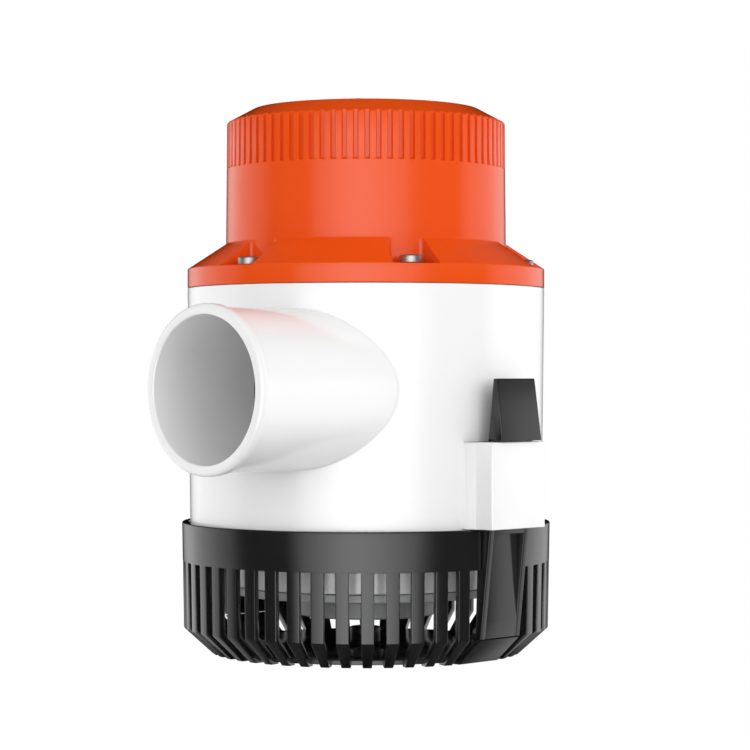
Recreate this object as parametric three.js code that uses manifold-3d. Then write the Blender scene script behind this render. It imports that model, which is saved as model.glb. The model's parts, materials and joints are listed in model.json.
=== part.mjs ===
// Submersible bilge pump with a clip-on strainer, in millimetres, +Z up.
// The origin is on the pump's axis at the underside of the strainer. The outlet points along -Y and the
// two strainer latches are on the X axis. Water enters through the strainer's slots, rises through the
// suction eye into the impeller, climbs the ring between the body and the motor barrel, and leaves
// through the outlet.
import * as THREE from "three";
import { mergeVertices } from "three/addons/utils/BufferGeometryUtils.js";
import Module from "manifold-3d";

const wasm = await Module();
wasm.setup();

// ---- Driving dimensions ----
const GAP = 0.3; // left between pieces that touch
const ROUND = 60; // facets round a large piece that shows
const MOUTH_ROUND = 48; // facets round the outlet
const INNER_ROUND = 36; // facets round a large piece inside
const SMALL_ROUND = 16; // facets round a small piece
const HOLE_ROUND = 12; // facets round a screw or its hole

// Body
const BODY_R = 59.0; // at its top
const BODY_TOP = 119.8;
const BODY_DRAFT = 0.9; // the body is this much slimmer at the strainer's rim
const BODY_WALL = 3.0;
const SHELF_THICKNESS = 4.9; // the ring that the motor barrel's flange sits on
const SHELF_REACH = 12.0;

// Strainer
const STRAINER_HEIGHT = 43.0;
const STRAINER_WALL = 2.3;
const RIM_STEP = 2.7; // the rim stands this far outside the body's foot
const STRAINER_DRAFT = 0.6;
const BAND_HEIGHT = 12.7; // solid band above the slots
const CHAMFER_RISE = 8.4;
const CHAMFER_RUN = 9.2;
const SLOT_COUNT = 48;
const SLOT_WIDTH = 3.75;
const FLOOR_THICKNESS = 1.5;
const FLOOR_LIFT = 0.8; // the slats' feet reach below the floor by this much
const FOOT_LENGTH = 3.6;
const PAD_R = 14.0;
const HULL_SCREW_R = 2.4;
const HULL_SCREW_CIRCLE = 34.0;

// Latches
const LATCH_HALF = 9.2; // half width of a latch finger
const RIB_WIDTH = 2.1;
const LATCH_SLIT = 0.35; // between the finger and the strainer's band
const WEB_THICKNESS = 2.1;
const POCKET_DEPTH = 2.8; // between the ribs, at its top
const POCKET_START = 13.6;
const POCKET_BAR = 1.6; // left solid between the pocket and the rim
const FINGER_LEAN = 4.0; // the finger's front moves out this far from its root to the rim
const STEM_THICKNESS = 2.2;
const SLEEVE_HEIGHT = 27.2;
const SLEEVE_REACH = 8.9; // the sleeve's outer face, outside the body's foot
const SLEEVE_WALL = 1.7;
const SLEEVE_SIDE_ROOM = 1.7;
const BARB_REACH = 1.5; // the latch's barb, past the sleeve's outer face
const HEAD_HEIGHT = 19.8;
const HEAD_TOP_THICKNESS = 1.7;
const HEAD_TOP_HALF = 8.8;

// Outlet
const OUTLET_BORE_R = 22.7;
const OUTLET_WALL = 2.3;
const OUTLET_OFFSET = 22.6; // its axis runs beside the pump's axis
const OUTLET_DROP = 33.0; // its axis lies this far below the body's top
const OUTLET_REACH = 33.5; // from the body's face to the mouth
const LIP_STEP = 1.0;
const LIP_LENGTH = 3.6;
const LIP_SLOPE = 0.6; // behind the lip
const BORE_DEPTH = 42.0; // the bore's wall reaches this far in from the mouth

// Volute well, suction plate and impeller
const WELL_R = 44.0;
const WELL_WALL = 2.5;
const WELL_TOP = 34.5;
const BODY_FOOT = 31.5;
const PLATE_BOTTOM = 19.4;
const PLATE_THICKNESS = 2.6;
const EYE_R = 19.5;
const EYE_WALL = 3.5;
const EYE_BOTTOM = 12.2;
const IMPELLER_CLEARANCE = 3.5;
const IMPELLER_BOTTOM = 24.0;
const VANE_HEIGHT = 16.0;
const VANE_COUNT = 6;
const VANE_THICKNESS = 2.2;
const SHROUD_THICKNESS = 2.4;
const HUB_R = 8.0;

// Motor and its barrel
const SHAFT_R = 4.0;
const MOTOR_R = 36.0;
const CAN_WALL = 1.8;
const BARREL_ROOM = 1.0;
const BARREL_WALL = 2.5;
const BARREL_BOTTOM = 46.0;
const BARREL_FLOOR = 3.5;
const FLANGE_THICKNESS = 3.0;
const CAN_BOTTOM = 57.0;
const CAN_ABOVE_BODY = 30.0; // the can's top, above the body's top
const AIR_GAP = 1.2;
const MAGNET_THICKNESS = 3.5;
const BEARING_R = 11.0;
const BEARING_HEIGHT = 7.0;
const COMMUTATOR_R = 12.0;
const SEAL_R = 8.0;
const SEAL_HEIGHT = 6.7;

// Cap
const CAP_WALL = 2.7;
const CAP_RIM = 6.3;
const CONE_RISE = 8.3;
const NECK_ROOM = 7.6; // between the motor can and the inside of the cap
const NECK_HEIGHT = 39.8;
const CROWN_RISE = 4.7;
const CROWN_RUN = 8.7;
const FLUTE_COUNT = 80;
const FLUTE_WIDTH = 1.5;
const FLUTE_DEPTH = 0.8;
const FLUTE_HEIGHT = 14.9;
const SCREW_COUNT = 6;
const SCREW_STANDOFF = 8.65; // from the inner edge of the body's shelf
const SCREW_R = 2.0;
const SCREW_HEAD_R = 3.65;
const SCREW_HEAD_HEIGHT = 3.0;
const SCREW_LENGTH = 22.0;
const POCKET_HALF_ANGLE = THREE.MathUtils.degToRad(7.3);
const PILLAR_R = 4.4;
const GLAND_R = 6.0;
const GLAND_TIP_R = 1.3;
const GLAND_BORE_R = 0.6;
const GLAND_RISE = 4.3;
const GLAND_OFFSET = -3.6;

// ---- Sizes worked out from them ----
const FOOT_R = BODY_R - BODY_DRAFT; // the body's radius at the strainer's rim
const RIM_R = FOOT_R + RIM_STEP;
const SLAT_R = RIM_R - STRAINER_DRAFT;
const BOTTOM_R = SLAT_R - CHAMFER_RUN;
const FLOOR_TOP = FLOOR_LIFT + FLOOR_THICKNESS;
const BAND_BOTTOM = STRAINER_HEIGHT - BAND_HEIGHT;
const LATCH_FRONT = Math.sqrt(SLAT_R ** 2 - LATCH_HALF ** 2) - 0.2; // at the top of the chamfer
const POCKET_END = STRAINER_HEIGHT - POCKET_BAR;
const SLEEVE_BOTTOM = STRAINER_HEIGHT + 0.2;
const SLEEVE_TOP = SLEEVE_BOTTOM + SLEEVE_HEIGHT;
const SLEEVE_OUT = FOOT_R + 0.3 + SLEEVE_REACH;
const SLEEVE_IN = SLEEVE_OUT - SLEEVE_WALL;
const SLEEVE_HALF = LATCH_HALF + SLEEVE_SIDE_ROOM + SLEEVE_WALL;
const OUTLET_R = OUTLET_BORE_R + OUTLET_WALL;
const OUTLET_MOUTH = BODY_R + OUTLET_REACH;
const BARREL_IN = MOTOR_R + BARREL_ROOM;
const BARREL_OUT = BARREL_IN + BARREL_WALL;
const FLANGE_TOP = BODY_TOP - GAP;
const FLANGE_BOTTOM = FLANGE_TOP - FLANGE_THICKNESS;
const SHELF_TOP = FLANGE_BOTTOM - GAP;
const SHELF_IN = BODY_R - BODY_WALL - SHELF_REACH;
const SCREW_CIRCLE = SHELF_IN + SCREW_STANDOFF;
const SEAT_R = BODY_R - BODY_WALL + 1; // round the motor barrel's flange
const ORING_R = 1.0;
const ORING_CIRCLE = SHELF_IN + 2.8;
const CAN_TOP = BODY_TOP + CAN_ABOVE_BODY;
const SHAFT_TOP = CAN_TOP + 7.5;
const CORE_R = MOTOR_R - CAN_WALL - GAP - MAGNET_THICKNESS - AIR_GAP;
const CORE_BOTTOM = CAN_BOTTOM + 21;
const CORE_TOP = CAN_TOP - 32;
const BRUSH_PLATE_TOP = CAN_TOP - 16.5;
const BOLT_CIRCLE = MOTOR_R - CAN_WALL - 2.7;
const BOLT_R = 1.6;
const CAP_TOP = BODY_TOP + CAP_RIM + CONE_RISE + NECK_HEIGHT + CROWN_RISE;

// ---- Building blocks ----

// A closed three.js geometry as a manifold solid: only its positions are kept, and its corners merged.
function solid(geometry) {
  const bare = new THREE.BufferGeometry();
  bare.setAttribute("position", geometry.getAttribute("position"));
  if (geometry.index) bare.setIndex(geometry.index);
  const merged = mergeVertices(bare, 1e-4);
  const corners = merged.index.array;
  const kept = [];
  for (let i = 0; i < corners.length; i += 3) {
    const [a, b, c] = [corners[i], corners[i + 1], corners[i + 2]];
    if (a !== b && b !== c && c !== a) kept.push(a, b, c);
  }
  const vertProperties = merged.attributes.position.array;
  return new wasm.Manifold(new wasm.Mesh({ numProp: 3, vertProperties, triVerts: new Uint32Array(kept) }));
}

// A manifold solid as a three.js geometry again.
function geometryOf(shape) {
  const { numProp, numVert, vertProperties, triVerts } = shape.getMesh();
  const positions = new Float32Array(numVert * 3);
  for (let i = 0; i < numVert; i++) {
    positions.set(vertProperties.subarray(i * numProp, i * numProp + 3), i * 3);
  }
  const geometry = new THREE.BufferGeometry();
  geometry.setAttribute("position", new THREE.BufferAttribute(positions, 3));
  geometry.setIndex(new THREE.BufferAttribute(new Uint32Array(triVerts), 1));
  geometry.computeVertexNormals();
  return geometry;
}

const join = (...shapes) => shapes.flat().reduce((sum, shape) => sum.add(shape));
const cut = (base, ...tools) => base.subtract(join(...tools));

// A solid turned about Z. The outline is [radius, height] pairs, closed on itself or ending on the axis.
function turned(outline, facets = ROUND) {
  const points = outline.map(([r, z]) => new THREE.Vector2(r, z));
  if (points[0].x > 0 || points[points.length - 1].x > 0) points.push(points[0].clone());
  if (THREE.ShapeUtils.area(points) < 0) points.reverse();
  return solid(new THREE.LatheGeometry(points, facets).rotateX(Math.PI / 2));
}

function cylinder(r, bottom, top, x = 0, y = 0, facets = SMALL_ROUND) {
  const geometry = new THREE.CylinderGeometry(r, r, top - bottom, facets).rotateX(Math.PI / 2);
  return solid(geometry.translate(x, y, (bottom + top) / 2));
}

// A plain ring round the pump's axis.
function ring(inner, outer, bottom, top, facets = SMALL_ROUND) {
  const outline = [
    [inner, bottom],
    [outer, bottom],
    [outer, top],
    [inner, top],
  ];
  return turned(outline, facets);
}

function box([x0, x1], [y0, y1], [z0, z1]) {
  const geometry = new THREE.BoxGeometry(x1 - x0, y1 - y0, z1 - z0);
  return solid(geometry.translate((x0 + x1) / 2, (y0 + y1) / 2, (z0 + z1) / 2));
}

// An outline in the X-Z plane, drawn out along Y from y0 to y1.
function slab(outline, y0, y1) {
  const shape = new THREE.Shape(outline.map(([x, z]) => new THREE.Vector2(x, z)));
  const geometry = new THREE.ExtrudeGeometry(shape, { depth: y1 - y0, bevelEnabled: false });
  return solid(geometry.rotateX(Math.PI / 2).translate(0, y1, 0));
}

// An outline in the X-Y plane, drawn out along Z.
function plate(shape, bottom, top) {
  const geometry = new THREE.ExtrudeGeometry(shape, {
    depth: top - bottom,
    bevelEnabled: false,
    curveSegments: 8,
  });
  return solid(geometry.translate(0, 0, bottom));
}

// A sector of a ring, centred on the +X direction.
function sector(inner, outer, halfAngle, bottom, top) {
  const shape = new THREE.Shape();
  shape.absarc(0, 0, outer, -halfAngle, halfAngle, false);
  shape.absarc(0, 0, inner, halfAngle, -halfAngle, true);
  return plate(shape, bottom, top);
}

const turnZ = (shape, degrees) => shape.rotate([0, 0, degrees]);
// A shape made round Z, laid over onto the outlet's axis, which runs along -Y.
const alongOutlet = (shape) =>
  shape.rotate([90, 0, 0]).translate([OUTLET_OFFSET, 0, BODY_TOP - OUTLET_DROP]);
const around = (count, start, make) =>
  Array.from({ length: count }, (_, i) => make(start + (i * 360) / count, i));

function material(color, roughness, metalness = 0) {
  return new THREE.MeshStandardMaterial({ color, roughness, metalness });
}

function piece(name, shape, look) {
  const mesh = new THREE.Mesh(geometryOf(shape), look);
  mesh.name = name;
  return mesh;
}

const ringPiece = (name, inner, outer, bottom, top, look) =>
  piece(name, ring(inner, outer, bottom, top), look);

const BLACK_PLASTIC = material(0x1e1e1f, 0.35);
const WHITE_PLASTIC = material(0xf2f3f4, 0.25);
const GREY_PLASTIC = material(0xb9bbbd, 0.4);
const ORANGE_PLASTIC = material(0xe0501a, 0.35);
const RUBBER = material(0x141414, 0.85);
const STAINLESS = material(0xc8cacc, 0.3, 1);
const STEEL = material(0x8c9094, 0.45, 1);
const FERRITE = material(0x3a3a3c, 0.7);
const COPPER = material(0xb8693a, 0.35, 1);
const BRASS = material(0xc9a45a, 0.35, 1);
const CARBON = material(0x2b2b2d, 0.6);

// ---- Strainer ----

function strainerBasket() {
  const wallIn = RIM_R - STRAINER_WALL;
  const slope = CHAMFER_RISE / CHAMFER_RUN;
  const tilt = Math.hypot(CHAMFER_RISE, CHAMFER_RUN);
  // The inside of the chamfer runs parallel to its outside, one wall away.
  const innerAt = (z) =>
    BOTTOM_R - (STRAINER_WALL * CHAMFER_RISE) / tilt + (z - (STRAINER_WALL * CHAMFER_RUN) / tilt) / slope;
  const kneeR = SLAT_R - STRAINER_WALL;
  const kneeZ = FLOOR_TOP + (kneeR - innerAt(FLOOR_TOP)) * slope;
  const footIn = BOTTOM_R - FOOT_LENGTH;
  // One facet to a slat, with the facets' edges in the middle of the slots.
  const outside = turned(
    [
      [0, 0],
      [PAD_R, 0],
      [PAD_R, FLOOR_LIFT],
      [footIn, FLOOR_LIFT],
      [footIn, 0],
      [BOTTOM_R, 0],
      [SLAT_R, CHAMFER_RISE],
      [RIM_R, STRAINER_HEIGHT],
      [0, STRAINER_HEIGHT],
    ],
    SLOT_COUNT,
  );
  const hollow = turned(
    [
      [0, FLOOR_TOP],
      [innerAt(FLOOR_TOP), FLOOR_TOP],
      [kneeR, kneeZ],
      [wallIn, STRAINER_HEIGHT + 1],
      [0, STRAINER_HEIGHT + 1],
    ],
    SLOT_COUNT,
  );
  const basket = turnZ(cut(outside, hollow), 180 / SLOT_COUNT);
  const beyond = RIM_R + 5;
  const floorEdge = innerAt(FLOOR_TOP) - 0.3;
  const slotOutline = [
    [footIn - 0.1, -1],
    [beyond, -1],
    [beyond, BAND_BOTTOM],
    [floorEdge, BAND_BOTTOM],
    [floorEdge, FLOOR_LIFT],
    [footIn - 0.1, FLOOR_LIFT],
  ];
  const pitch = 360 / SLOT_COUNT;
  const slots = around(SLOT_COUNT, pitch / 2, (angle) =>
    // The slots beside each latch are cut with it, further down.
    Math.abs(((angle + 90) % 180) - 90) < 1.2 * pitch
      ? []
      : [turnZ(slab(slotOutline, -SLOT_WIDTH / 2, SLOT_WIDTH / 2), angle)],
  ).flat();
  const flank = SLAT_R * Math.sin(THREE.MathUtils.degToRad(1.5 * pitch)) + SLOT_WIDTH / 2;
  const rootIn = footIn - 1;
  const windows = [0, 180].flatMap((angle) =>
    [
      slab(slotOutline, -flank, flank),
      box([rootIn, beyond], [-LATCH_HALF, LATCH_HALF], [-1, STRAINER_HEIGHT + 1]),
      box(
        [floorEdge, beyond],
        [-LATCH_HALF - LATCH_SLIT, LATCH_HALF + LATCH_SLIT],
        [CHAMFER_RISE - GAP, STRAINER_HEIGHT + 1],
      ),
    ].map((tool) => turnZ(tool, angle)),
  );
  // The flat-fronted root that each latch finger flexes on.
  const rootTop = CHAMFER_RISE - GAP / 2;
  const rootBack = LATCH_FRONT - WEB_THICKNESS - 0.5;
  const root = slab(
    [
      [rootIn - 1, 0],
      [LATCH_FRONT - CHAMFER_RUN, 0],
      [LATCH_FRONT, rootTop],
      [rootBack, rootTop],
      [LATCH_FRONT - CHAMFER_RUN - 0.3, FLOOR_TOP],
      [rootIn - 1, FLOOR_TOP],
    ],
    -LATCH_HALF,
    LATCH_HALF,
  );
  const spots = around(4, 45, (angle) => THREE.MathUtils.degToRad(angle)).map((a) => [
    HULL_SCREW_CIRCLE * Math.cos(a),
    HULL_SCREW_CIRCLE * Math.sin(a),
  ]);
  const collars = spots.map(([x, y]) =>
    cylinder(2.2 * HULL_SCREW_R, FLOOR_LIFT + 0.2, FLOOR_TOP + 2.2, x, y),
  );
  const holes = spots.map(([x, y]) => cylinder(HULL_SCREW_R, -1, FLOOR_TOP + 4, x, y));
  // A low outlet would pass the rim, which is then notched round it.
  const outletRoom = alongOutlet(cylinder(OUTLET_R + GAP, 0, OUTLET_MOUTH, 0, 0, MOUTH_ROUND));
  const open = cut(basket, slots, windows);
  const whole = join(open, root, turnZ(root, 180), collars);
  return piece("strainer_basket", cut(whole, holes, outletRoom), BLACK_PLASTIC);
}

// A latch finger on the +X side: a web with two ribs, a stem that runs up through the body's sleeve, and
// a wedge-shaped head whose barb sits on the sleeve's top edge.
function latchFinger(name) {
  const low = CHAMFER_RISE + GAP / 2;
  const rim = STRAINER_HEIGHT;
  const lean = FINGER_LEAN / (rim - CHAMFER_RISE);
  const frontAt = (z) => LATCH_FRONT + lean * (z - CHAMFER_RISE);
  const panel = frontAt(POCKET_END) - POCKET_DEPTH;
  const back = LATCH_FRONT - WEB_THICKNESS - 0.3;
  const headBottom = SLEEVE_TOP + GAP;
  const headTop = SLEEVE_TOP + HEAD_HEIGHT;
  const stemFront = SLEEVE_IN - 1.0;
  const stemBack = stemFront - STEM_THICKNESS;
  const barb = SLEEVE_OUT + BARB_REACH - 0.3;
  const finger = slab(
    [
      [back, low],
      [frontAt(low), low],
      [frontAt(rim), rim],
      [stemFront, headBottom + 0.2],
      [stemBack, headBottom + 0.2],
      [FOOT_R + 2.3, rim],
      [panel - WEB_THICKNESS, rim - 0.6],
    ],
    -LATCH_HALF,
    LATCH_HALF,
  );
  // Between the ribs, the pocket deepens from nothing at its foot to its full depth under the rim.
  const deepen = (panel - frontAt(POCKET_START)) / (POCKET_END - POCKET_START);
  const pocket = slab(
    [
      [frontAt(POCKET_START) - 3 * deepen + 3 * lean, POCKET_START - 3],
      [frontAt(POCKET_START), POCKET_START],
      [panel, POCKET_END],
      [stemFront + 5, POCKET_END],
      [stemFront + 5, POCKET_START - 3],
    ],
    RIB_WIDTH - LATCH_HALF,
    LATCH_HALF - RIB_WIDTH,
  );
  // The head narrows towards its top on all four sides.
  const headLow = new THREE.Shape([
    new THREE.Vector2(stemBack + 0.2, -LATCH_HALF - 0.2),
    new THREE.Vector2(barb, -LATCH_HALF - 0.2),
    new THREE.Vector2(barb, LATCH_HALF + 0.2),
    new THREE.Vector2(stemBack + 0.2, LATCH_HALF + 0.2),
  ]);
  const headRise = headTop - headBottom;
  const headShape = new THREE.ExtrudeGeometry(headLow, { depth: headRise, bevelEnabled: false });
  const corners = headShape.getAttribute("position");
  const topBack = stemBack + 1.9;
  for (let i = 0; i < corners.count; i++) {
    if (corners.getZ(i) < 1) continue;
    corners.setX(i, corners.getX(i) > barb - 1 ? topBack + HEAD_TOP_THICKNESS : topBack);
    corners.setY(i, Math.sign(corners.getY(i)) * HEAD_TOP_HALF);
  }
  const head = solid(headShape.translate(0, 0, headBottom));
  return piece(name, join(cut(finger, pocket), head), BLACK_PLASTIC);
}

// ---- Body ----

function pumpBody() {
  const slope = BODY_DRAFT / (BODY_TOP - STRAINER_HEIGHT);
  const outAt = (z) => FOOT_R + (z - STRAINER_HEIGHT) * slope;
  const inAt = (z) => outAt(z) - BODY_WALL;
  const wellIn = WELL_R - WELL_WALL;
  const wellBottom = PLATE_BOTTOM + PLATE_THICKNESS + GAP;
  const outside = turned([
    [0, wellBottom],
    [WELL_R, wellBottom],
    [WELL_R, BODY_FOOT],
    [outAt(BODY_FOOT), BODY_FOOT],
    [BODY_R, BODY_TOP],
    [0, BODY_TOP],
  ]);
  // The space inside: the seat for the barrel's flange, the shelf's hole, the water ring and the well.
  const hollow = turned(
    [
      [0, WELL_TOP],
      [inAt(WELL_TOP), WELL_TOP],
      [inAt(SHELF_TOP), SHELF_TOP - SHELF_THICKNESS],
      [0, SHELF_TOP - SHELF_THICKNESS],
    ],
    INNER_ROUND,
  );
  const openings = [
    cylinder(SEAT_R, SHELF_TOP, BODY_TOP + 1, 0, 0, INNER_ROUND),
    cylinder(SHELF_IN, BODY_TOP - 20, BODY_TOP, 0, 0, INNER_ROUND),
    cylinder(wellIn, wellBottom - 1, WELL_TOP + 1, 0, 0, INNER_ROUND),
  ];
  const shell = cut(outside, hollow, openings);
  const lipR = OUTLET_R + LIP_STEP;
  const spigot = alongOutlet(
    turned(
      [
        [0, OUTLET_MOUTH - BORE_DEPTH],
        [OUTLET_R, OUTLET_MOUTH - BORE_DEPTH],
        [OUTLET_R, OUTLET_MOUTH - LIP_LENGTH],
        [lipR, OUTLET_MOUTH - LIP_LENGTH + LIP_SLOPE],
        [lipR, OUTLET_MOUTH - 1.6],
        [lipR - 0.45, OUTLET_MOUTH - 0.5],
        [lipR - 1.5, OUTLET_MOUTH],
        [0, OUTLET_MOUTH],
      ],
      MOUTH_ROUND,
    ),
  );
  const bore = alongOutlet(
    turned(
      [
        [0, 24],
        [OUTLET_BORE_R, 24],
        [OUTLET_BORE_R, OUTLET_MOUTH + 1],
        [0, OUTLET_MOUTH + 1],
      ],
      MOUTH_ROUND,
    ),
  );
  const sleeve = cut(
    box([FOOT_R - 4, SLEEVE_OUT], [-SLEEVE_HALF, SLEEVE_HALF], [SLEEVE_BOTTOM, SLEEVE_TOP]),
    box(
      [0, SLEEVE_IN],
      [SLEEVE_WALL - SLEEVE_HALF, SLEEVE_HALF - SLEEVE_WALL],
      [SLEEVE_BOTTOM - 1, SLEEVE_TOP + 1],
    ),
    hollow,
  );
  // Inside the strainer's rim the wall is set back, which leaves room for the finger when it is pressed.
  const recessHalf = LATCH_HALF + 0.7;
  const recessWall = box(
    [FOOT_R - 6.8, FOOT_R - 2],
    [-recessHalf - 2.3, recessHalf + 2.3],
    [BODY_FOOT, SLEEVE_BOTTOM + 2.5],
  );
  const recess = box(
    [FOOT_R - 4.6, FOOT_R + 4],
    [-recessHalf, recessHalf],
    [BODY_FOOT - 1, SLEEVE_BOTTOM],
  );
  const both = (shape) => [shape, turnZ(shape, 180)];
  const pillars = around(SCREW_COUNT, -90, (angle) => {
    const pillar = cylinder(PILLAR_R, SHELF_TOP - 16, SHELF_TOP - 1, SCREW_CIRCLE, 0, HOLE_ROUND);
    return turnZ(pillar, angle);
  });
  const screwHoles = around(SCREW_COUNT, -90, (angle) =>
    turnZ(cylinder(SCREW_R + GAP, SHELF_TOP - 14.5, SHELF_TOP + 1, SCREW_CIRCLE, 0, HOLE_ROUND), angle),
  );
  const groove = turned(oringGroove(SHELF_TOP), INNER_ROUND);
  const whole = join(shell, cut(spigot, openings), both(sleeve), both(recessWall), pillars);
  return piece("pump_body", cut(whole, bore, both(recess), screwHoles, groove), WHITE_PLASTIC);
}

function oringGroove(top) {
  const half = ORING_R + 0.5;
  return [
    [ORING_CIRCLE - half, top - 2 * ORING_R + 0.1],
    [ORING_CIRCLE + half, top - 2 * ORING_R + 0.1],
    [ORING_CIRCLE + half, top + 1],
    [ORING_CIRCLE - half, top + 1],
  ];
}

function oring(name, top) {
  const centre = top - ORING_R + 0.15;
  const ring = new THREE.TorusGeometry(ORING_CIRCLE, ORING_R - 0.05, 6, INNER_ROUND);
  return piece(name, solid(ring.translate(0, 0, centre)), RUBBER);
}

// ---- Volute ----

function suctionPlate() {
  const top = PLATE_BOTTOM + PLATE_THICKNESS;
  const spigotOut = WELL_R - WELL_WALL - GAP;
  const outline = [
    [EYE_R, EYE_BOTTOM],
    [EYE_R + EYE_WALL, EYE_BOTTOM],
    [EYE_R + EYE_WALL, PLATE_BOTTOM],
    [WELL_R, PLATE_BOTTOM],
    [WELL_R, top],
    [spigotOut, top],
    [spigotOut, top + 2],
    [spigotOut - 1.8, top + 2],
    [spigotOut - 1.8, top],
    [EYE_R, top],
  ];
  return piece("suction_plate", turned(outline, INNER_ROUND), GREY_PLASTIC);
}

function impeller() {
  const outer = WELL_R - WELL_WALL - IMPELLER_CLEARANCE;
  const shroudBottom = IMPELLER_BOTTOM + VANE_HEIGHT;
  const hubTop = shroudBottom + SHROUD_THICKNESS + 1.2;
  const sweep = THREE.MathUtils.degToRad(75);
  // Each vane follows a spiral that leans back from the hub to the rim.
  const spiral = (side) =>
    Array.from({ length: 9 }, (_, i) => {
      const t = i / 8;
      const r = HUB_R - 2 + (outer - 0.5 - HUB_R + 2) * t;
      const a = sweep * t ** 0.7;
      return new THREE.Vector2(r * Math.cos(a) + side * Math.sin(a), r * Math.sin(a) - side * Math.cos(a));
    });
  const half = VANE_THICKNESS / 2;
  const outline = new THREE.Shape([...spiral(half), ...spiral(-half).reverse()]);
  const vane = plate(outline, IMPELLER_BOTTOM, shroudBottom + 0.5);
  const vanes = around(VANE_COUNT, 0, (angle) => turnZ(vane, angle));
  const hub = cylinder(HUB_R, IMPELLER_BOTTOM, hubTop);
  const shroud = cylinder(outer, shroudBottom, shroudBottom + SHROUD_THICKNESS, 0, 0, INNER_ROUND);
  const bore = cylinder(SHAFT_R + GAP, IMPELLER_BOTTOM - 1, hubTop + 1);
  return piece("impeller", cut(join(hub, shroud, vanes), bore), BLACK_PLASTIC);
}

function impellerNut() {
  const top = IMPELLER_BOTTOM - GAP;
  const hex = cylinder(1.6 * SHAFT_R, top - 5, top, 0, 0, 6);
  const dome = turned(
    [
      [0, top - 6.5],
      [2.5, top - 6.2],
      [5, top - 4.9],
      [0, top - 4.9],
    ],
    SMALL_ROUND,
  );
  const bore = cylinder(SHAFT_R + GAP, top - 4, top + 1);
  return piece("impeller_nut", cut(join(hex, dome), bore), STAINLESS);
}

// ---- Motor ----

function shaft() {
  const bottom = IMPELLER_BOTTOM - GAP - 3.7;
  return piece("shaft", cylinder(SHAFT_R, bottom, SHAFT_TOP), STAINLESS);
}

// On the impeller's side of the barrel: a lip seal held up by a washer.
function sealPieces() {
  const bottom = BARREL_BOTTOM + GAP;
  const washerTop = BARREL_BOTTOM - GAP;
  return [
    ringPiece("shaft_seal", SHAFT_R + GAP, SEAL_R, bottom, bottom + SEAL_HEIGHT, RUBBER),
    ringPiece("seal_retainer", SHAFT_R + 2 * GAP, SEAL_R + 2, washerTop - 1.2, washerTop, STAINLESS),
  ];
}

function motorBarrel() {
  const floor = BARREL_BOTTOM + BARREL_FLOOR;
  const sealTop = BARREL_BOTTOM + SEAL_HEIGHT + 2 * GAP;
  const boss = SEAL_R + 3.5;
  const flangeOut = SEAT_R - GAP;
  const outline = [
    [SEAL_R + GAP, BARREL_BOTTOM],
    [BARREL_OUT - 5.5, BARREL_BOTTOM],
    [BARREL_OUT, BARREL_BOTTOM + 4],
    [BARREL_OUT, FLANGE_BOTTOM],
    [flangeOut, FLANGE_BOTTOM],
    [flangeOut, FLANGE_TOP],
    [BARREL_IN, FLANGE_TOP],
    [BARREL_IN, floor + 3],
    [BARREL_IN - 3.5, floor],
    [boss, floor],
    [boss, sealTop + 2.7],
    [SHAFT_R + 2 * GAP, sealTop + 2.7],
    [SHAFT_R + 2 * GAP, sealTop],
    [SEAL_R + GAP, sealTop],
  ];
  const holes = around(SCREW_COUNT, -90, (angle) =>
    turnZ(cylinder(SCREW_R + GAP, FLANGE_BOTTOM - 1, FLANGE_TOP + 1, SCREW_CIRCLE, 0, HOLE_ROUND), angle),
  );
  const groove = turned(oringGroove(FLANGE_TOP), INNER_ROUND);
  return piece("motor_barrel", cut(turned(outline, INNER_ROUND), holes, groove), GREY_PLASTIC);
}

function motorCan() {
  const inside = MOTOR_R - CAN_WALL;
  const cup = BEARING_R + GAP;
  const floor = CAN_BOTTOM + 2;
  const cupTop = floor + BEARING_HEIGHT;
  return piece(
    "motor_can",
    turned(
      [
        [SHAFT_R + 2, CAN_BOTTOM],
        [MOTOR_R, CAN_BOTTOM],
        [MOTOR_R, CAN_TOP],
        [inside, CAN_TOP],
        [inside, floor],
        [cup + 1.7, floor],
        [cup + 1.7, cupTop],
        [cup, cupTop],
        [cup, floor],
        [SHAFT_R + 2, floor],
      ],
      INNER_ROUND,
    ),
    STEEL,
  );
}

function armature() {
  const slotCut = box([CORE_R - 5, CORE_R + 1], [-1.2, 1.2], [CORE_BOTTOM - 1, CORE_TOP + 1]);
  const slots = around(12, 15, (angle) => turnZ(slotCut, angle));
  const bore = cylinder(SHAFT_R + GAP, CORE_BOTTOM - 1, CORE_TOP + 1);
  const core = cut(cylinder(CORE_R, CORE_BOTTOM, CORE_TOP, 0, 0, INNER_ROUND), slots, bore);
  const bundle = (near, far) => [
    [SHAFT_R + 2, near],
    [CORE_R - 3, near],
    [CORE_R - 1.5, near + 0.35 * (far - near)],
    [CORE_R - 6, far],
    [SHAFT_R + 4, far],
  ];
  const copperEnd = (name, near, far) => piece(name, turned(bundle(near, far), SMALL_ROUND), COPPER);
  return [
    piece("armature_core", core, STEEL),
    copperEnd("winding_lower", CORE_BOTTOM - GAP, CORE_BOTTOM - 9),
    copperEnd("winding_upper", CORE_TOP + GAP, CORE_TOP + 11),
    ringPiece("commutator", SHAFT_R + GAP, COMMUTATOR_R, BRUSH_PLATE_TOP + 1, CAN_TOP - 3, COPPER),
  ];
}

function magnet(name) {
  const inner = CORE_R + AIR_GAP;
  const halfAngle = THREE.MathUtils.degToRad(62);
  const shape = sector(inner, inner + MAGNET_THICKNESS, halfAngle, CORE_BOTTOM - 6, CORE_TOP + 6);
  return piece(name, shape, FERRITE);
}

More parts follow.
